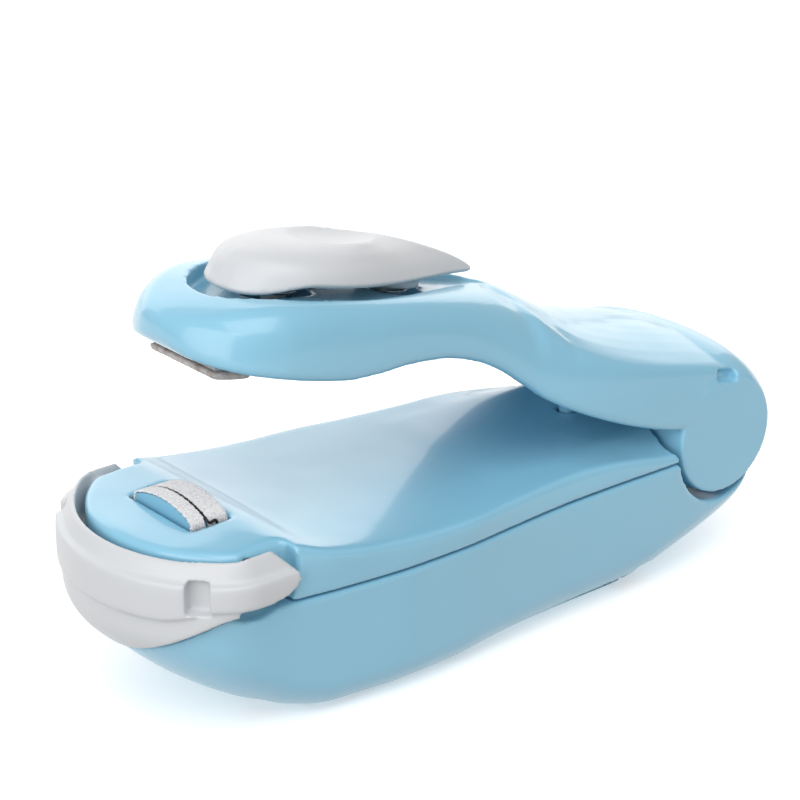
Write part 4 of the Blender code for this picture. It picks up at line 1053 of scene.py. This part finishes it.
def add_threads(shape, low_x, high_x, seed):
    """Loose threads along the cloth's cut ends and edges, added to a bmesh."""
    rng = random.Random(seed)
    end_threads = 34
    edge_threads = 22
    for side in SIDES:
        for _ in range(end_threads):
            x = mix(low_x + 0.05, high_x - 0.05, rng.random())
            y = side * (HEATER_HALF_Y + 0.30 + 0.05 * rng.random())
            z = arch(HEATER_HALF_Y) - 0.35 - 0.5 * rng.random()
            lean = 0.5 * (rng.random() - 0.5)
            reach = 0.30 + 0.10 * rng.random()
            points = [
                (x, y, z + 0.5), (x + 0.3 * lean, y + side * 0.10, z + 0.2),
                (x + 0.7 * lean, y + side * 0.2, z - 0.1), (x + lean, y + side * reach, z - 0.35),
            ]
            tube(shape, points, 0.035, 5)
    for x, push in ((low_x, -1), (high_x, 1)):
        for _ in range(edge_threads):
            y = (2 * rng.random() - 1) * HEATER_HALF_Y * 0.98
            slant = 0.5 * (rng.random() - 0.5)
            points = [
                (x - push * 0.12, y, arch(y) + 0.3), (x + push * 0.06, y + 0.4 * slant, arch(y) + 0.26),
                (x + push * 0.13, y + slant, arch(y) + 0.12),
            ]
            tube(shape, points, 0.028, 5)


def make_strip(name, node, low_x, high_x, seed):
    shape = bmesh.new()
    add_cloth(shape, low_x, high_x, seed)
    add_threads(shape, low_x, high_x, seed)
    finished(name, mesh_of(shape, name), "base", node, cloth)


def eased(route):
    """The points of a route with two more between each pair, on a smooth curve through all of them."""
    smooth = []
    for before, a, b, after in zip([route[0]] + route[:-2], route[:-1], route[1:], route[2:] + [route[-1]]):
        for t in (0.0, 0.33, 0.67):
            point = []
            for p, q, r, s in zip(before, a, b, after):
                square = (2 * p - 5 * q + 4 * r - s) * t**2
                cube = (3 * q - p - 3 * r + s) * t**3
                point.append(0.5 * (2 * q + (r - p) * t + square + cube))
            smooth.append(tuple(point))
    smooth.append(route[-1])
    return smooth


def make_wire():
    """The bare wire along the gap between the strips, with a bend at each end where it goes down."""
    half = HEATER_HALF_Y
    crossing = [(WIRE_X, y, arch(y) + 0.13) for y in np.linspace(-half + 0.4, half - 0.4, 25)]
    out = half + 0.62
    low = arch(half)
    near = [
        (WIRE_X + 1.3, -out, low - 2.4), (WIRE_X + 1.35, -out, low - 0.7), (WIRE_X + 1.2, -out, low - 0.28),
        (WIRE_X + 0.85, -out, low - 0.22), (WIRE_X + 0.4, -out, low - 0.38), (WIRE_X + 0.1, -out, low - 0.22),
        (WIRE_X, -half - 0.42, low + 0.02),
    ]
    far = [
        (WIRE_X, half + 0.42, low + 0.02), (WIRE_X - 0.1, out, low - 0.2), (WIRE_X - 0.5, out, low - 0.3),
        (WIRE_X - 0.9, out, low - 0.5), (WIRE_X - 1.0, out, low - 2.4),
    ]
    shape = bmesh.new()
    tube(shape, eased(near + crossing + far), WIRE_RADIUS, 12)
    finished("hot_wire", mesh_of(shape, "hot_wire"), "base", "heater_wire", alloy)


def make_jaw():
    """The silicone face of the jaw: a soft block with worn, uneven edges and shallow cross ribs."""
    shape = bmesh.new()
    corners = [
        (-39.55, 27.85), (-39.65, 27.2), (-39.2, 26.78), (-36.9, 26.72), (-34.5, 26.78), (-34.05, 27.2),
        (-34.1, 27.85),
    ]
    section = soften(corners, 2)
    middle = (-36.85, 27.4)
    rows = []
    count = 72
    for i in range(count + 1):
        y = 6.85 * (2 * i / count - 1)
        end = max(0.0, (abs(y) - 6.3) / 0.55)
        shrink = 1 - 0.22 * end * end
        row = []
        for x, z in section:
            wear = 0.04 * math.sin(3.1 * y + x) * math.sin(1.7 * y + 2 * x)
            rib = 0.05 * math.cos(2 * math.pi * y / 0.9) if z < 26.9 else 0.0
            x_here = middle[0] + (x - middle[0]) * (1 - 0.04 * end * end) + wear
            z_here = middle[1] + (z - middle[1]) * shrink + (rib if abs(y) < 6.3 else 0.0)
            row.append(shape.verts.new((x_here, y, z_here)))
        rows.append(row)
    for near, far in zip(rows, rows[1:]):
        for j in range(len(section)):
            k = (j + 1) % len(section)
            shape.faces.new((near[j], near[k], far[k], far[j]))
    shape.faces.new(rows[0][::-1])
    shape.faces.new(rows[-1])
    mesh = mesh_of(shape, "jaw_face")
    mesh.transform(TO_OPEN)
    finished("jaw_face", mesh, "lever", "jaw_pad", silicone)


def make_spring(name, node, x):
    """One of the coil springs under the press pad."""
    start = Vector((x, 0.0, RECESS_FLOOR_Z + 0.7))
    per_turn = 36
    total = SPRING_TURNS * per_turn
    points = []
    for i in range(total + 1):
        a = 2 * math.pi * i / per_turn
        out = Vector((SPRING_RADIUS * math.cos(a), SPRING_RADIUS * math.sin(a), SPRING_LENGTH * i / total))
        points.append(start + out)
    shape = bmesh.new()
    tube(shape, points, SPRING_WIRE, 12)
    mesh = mesh_of(shape, name)
    mesh.transform(TO_OPEN)
    spring = finished(name, mesh, "lever", node, steel)
    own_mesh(spring)


def dress_nodes():
    """Better materials on the CAD nodes that stay."""
    finishes = {
        "spring_steel": steel, "grey_plastic": grey, "black_plastic": black,
        "plated_contact": plated, "heater_alloy": alloy, "cell_sleeve": sleeve, "magnet_ferrite": ferrite,
        "lead_red": red_lead, "lead_black": black_lead, "blue_gloss": blue, "white_satin": white,
        "glass_cloth": cloth, "jaw_silicone": silicone,
    }
    for part in frame["record"]["subparts"]:
        for material_slot in frame["nodes"][part["node"]].material_slots:
            material_slot.material = finishes[part["material_slot"]]


make_base()
make_guard()
make_lever()
make_pad()
make_door()
strip_low = HEATER_X - HEATER_HALF_X - CLOTH_OVERHANG
strip_high = HEATER_X + HEATER_HALF_X + CLOTH_OVERHANG
make_strip("front_cloth", "cloth_strip_front", strip_low, WIRE_X - WIRE_TO_CLOTH, 3)
make_strip("rear_cloth", "cloth_strip_rear", WIRE_X + WIRE_TO_CLOTH, strip_high, 8)
make_wire()
make_jaw()
make_spring("front_pad_spring", "pad_spring_front", STEM_X[0])
make_spring("rear_pad_spring", "pad_spring_rear", STEM_X[1])
dress_nodes()
for helper in list(helpers.objects):
    bpy.data.objects.remove(helper, do_unlink=True)
bpy.data.collections.remove(helpers)


# The floor, the lights and the camera.
def make_floor():
    shape = bmesh.new()
    bmesh.ops.create_grid(shape, x_segments=4, y_segments=4, size=FLOOR_HALF)
    mesh = bpy.data.meshes.new("studio_floor")
    shape.to_mesh(mesh)
    shape.free()
    floor = bpy.data.objects.new("studio_floor", mesh)
    floor.location = (0.0, 0.0, -FLOOR_DROP)
    glow = {"Emission_Color": (1.0, 1.0, 1.0, 1.0), "Emission_Strength": FLOOR_GLOW}
    made = Finish("pale_floor", (0.93, 0.93, 0.93), 0.75, **glow)
    made.tint(made.noise(3.0), ((NOISE_LOW, (0.925, 0.925, 0.925)), (NOISE_HIGH, (0.935, 0.935, 0.935))))
    mesh.materials.append(made.material)
    bpy.context.scene.collection.objects.link(floor)
    floor.visible_diffuse = False


def area_light(name, place, size, watts):
    light = bpy.data.lights.new(name, "AREA")
    light.shape = "RECTANGLE"
    light.size, light.size_y = size
    light.energy = watts
    lamp = bpy.data.objects.new(name, light)
    lamp.location = place
    lamp.rotation_euler = (LAMP_AIM - Vector(place)).to_track_quat("-Z", "Y").to_euler()
    bpy.context.scene.collection.objects.link(lamp)


def make_world():
    world = bpy.data.worlds.new("studio")
    bpy.context.scene.world = world
    world.use_nodes = True
    background = world.node_tree.nodes["Background"]
    background.inputs["Color"].default_value = (1.0, 1.0, 1.0, 1.0)
    background.inputs["Strength"].default_value = WORLD_STRENGTH


def make_camera():
    azimuth = math.radians(CAMERA_AZIMUTH_DEG)
    elevation = math.radians(CAMERA_ELEVATION_DEG)
    back = Vector((
        math.sin(azimuth) * math.cos(elevation), -math.cos(azimuth) * math.cos(elevation), math.sin(elevation)
    ))
    camera_data = bpy.data.cameras.new("camera")
    camera_data.sensor_width = 36.0
    camera_data.lens = CAMERA_LENS
    camera_data.clip_start = 0.01
    camera_data.clip_end = 20.0
    camera = bpy.data.objects.new("camera", camera_data)
    camera.location = (CAMERA_AIM + back * CAMERA_DISTANCE) * MM
    camera.rotation_mode = "QUATERNION"
    camera.rotation_quaternion = (-back).to_track_quat("-Z", "Y")
    bpy.context.scene.collection.objects.link(camera)
    bpy.context.scene.camera = camera


make_floor()
make_world()
for lamp_name, lamp_place, lamp_size, lamp_watts in LAMPS:
    area_light(lamp_name, lamp_place, lamp_size, lamp_watts)
make_camera()

bpy.context.scene.view_settings.view_transform = "Standard"
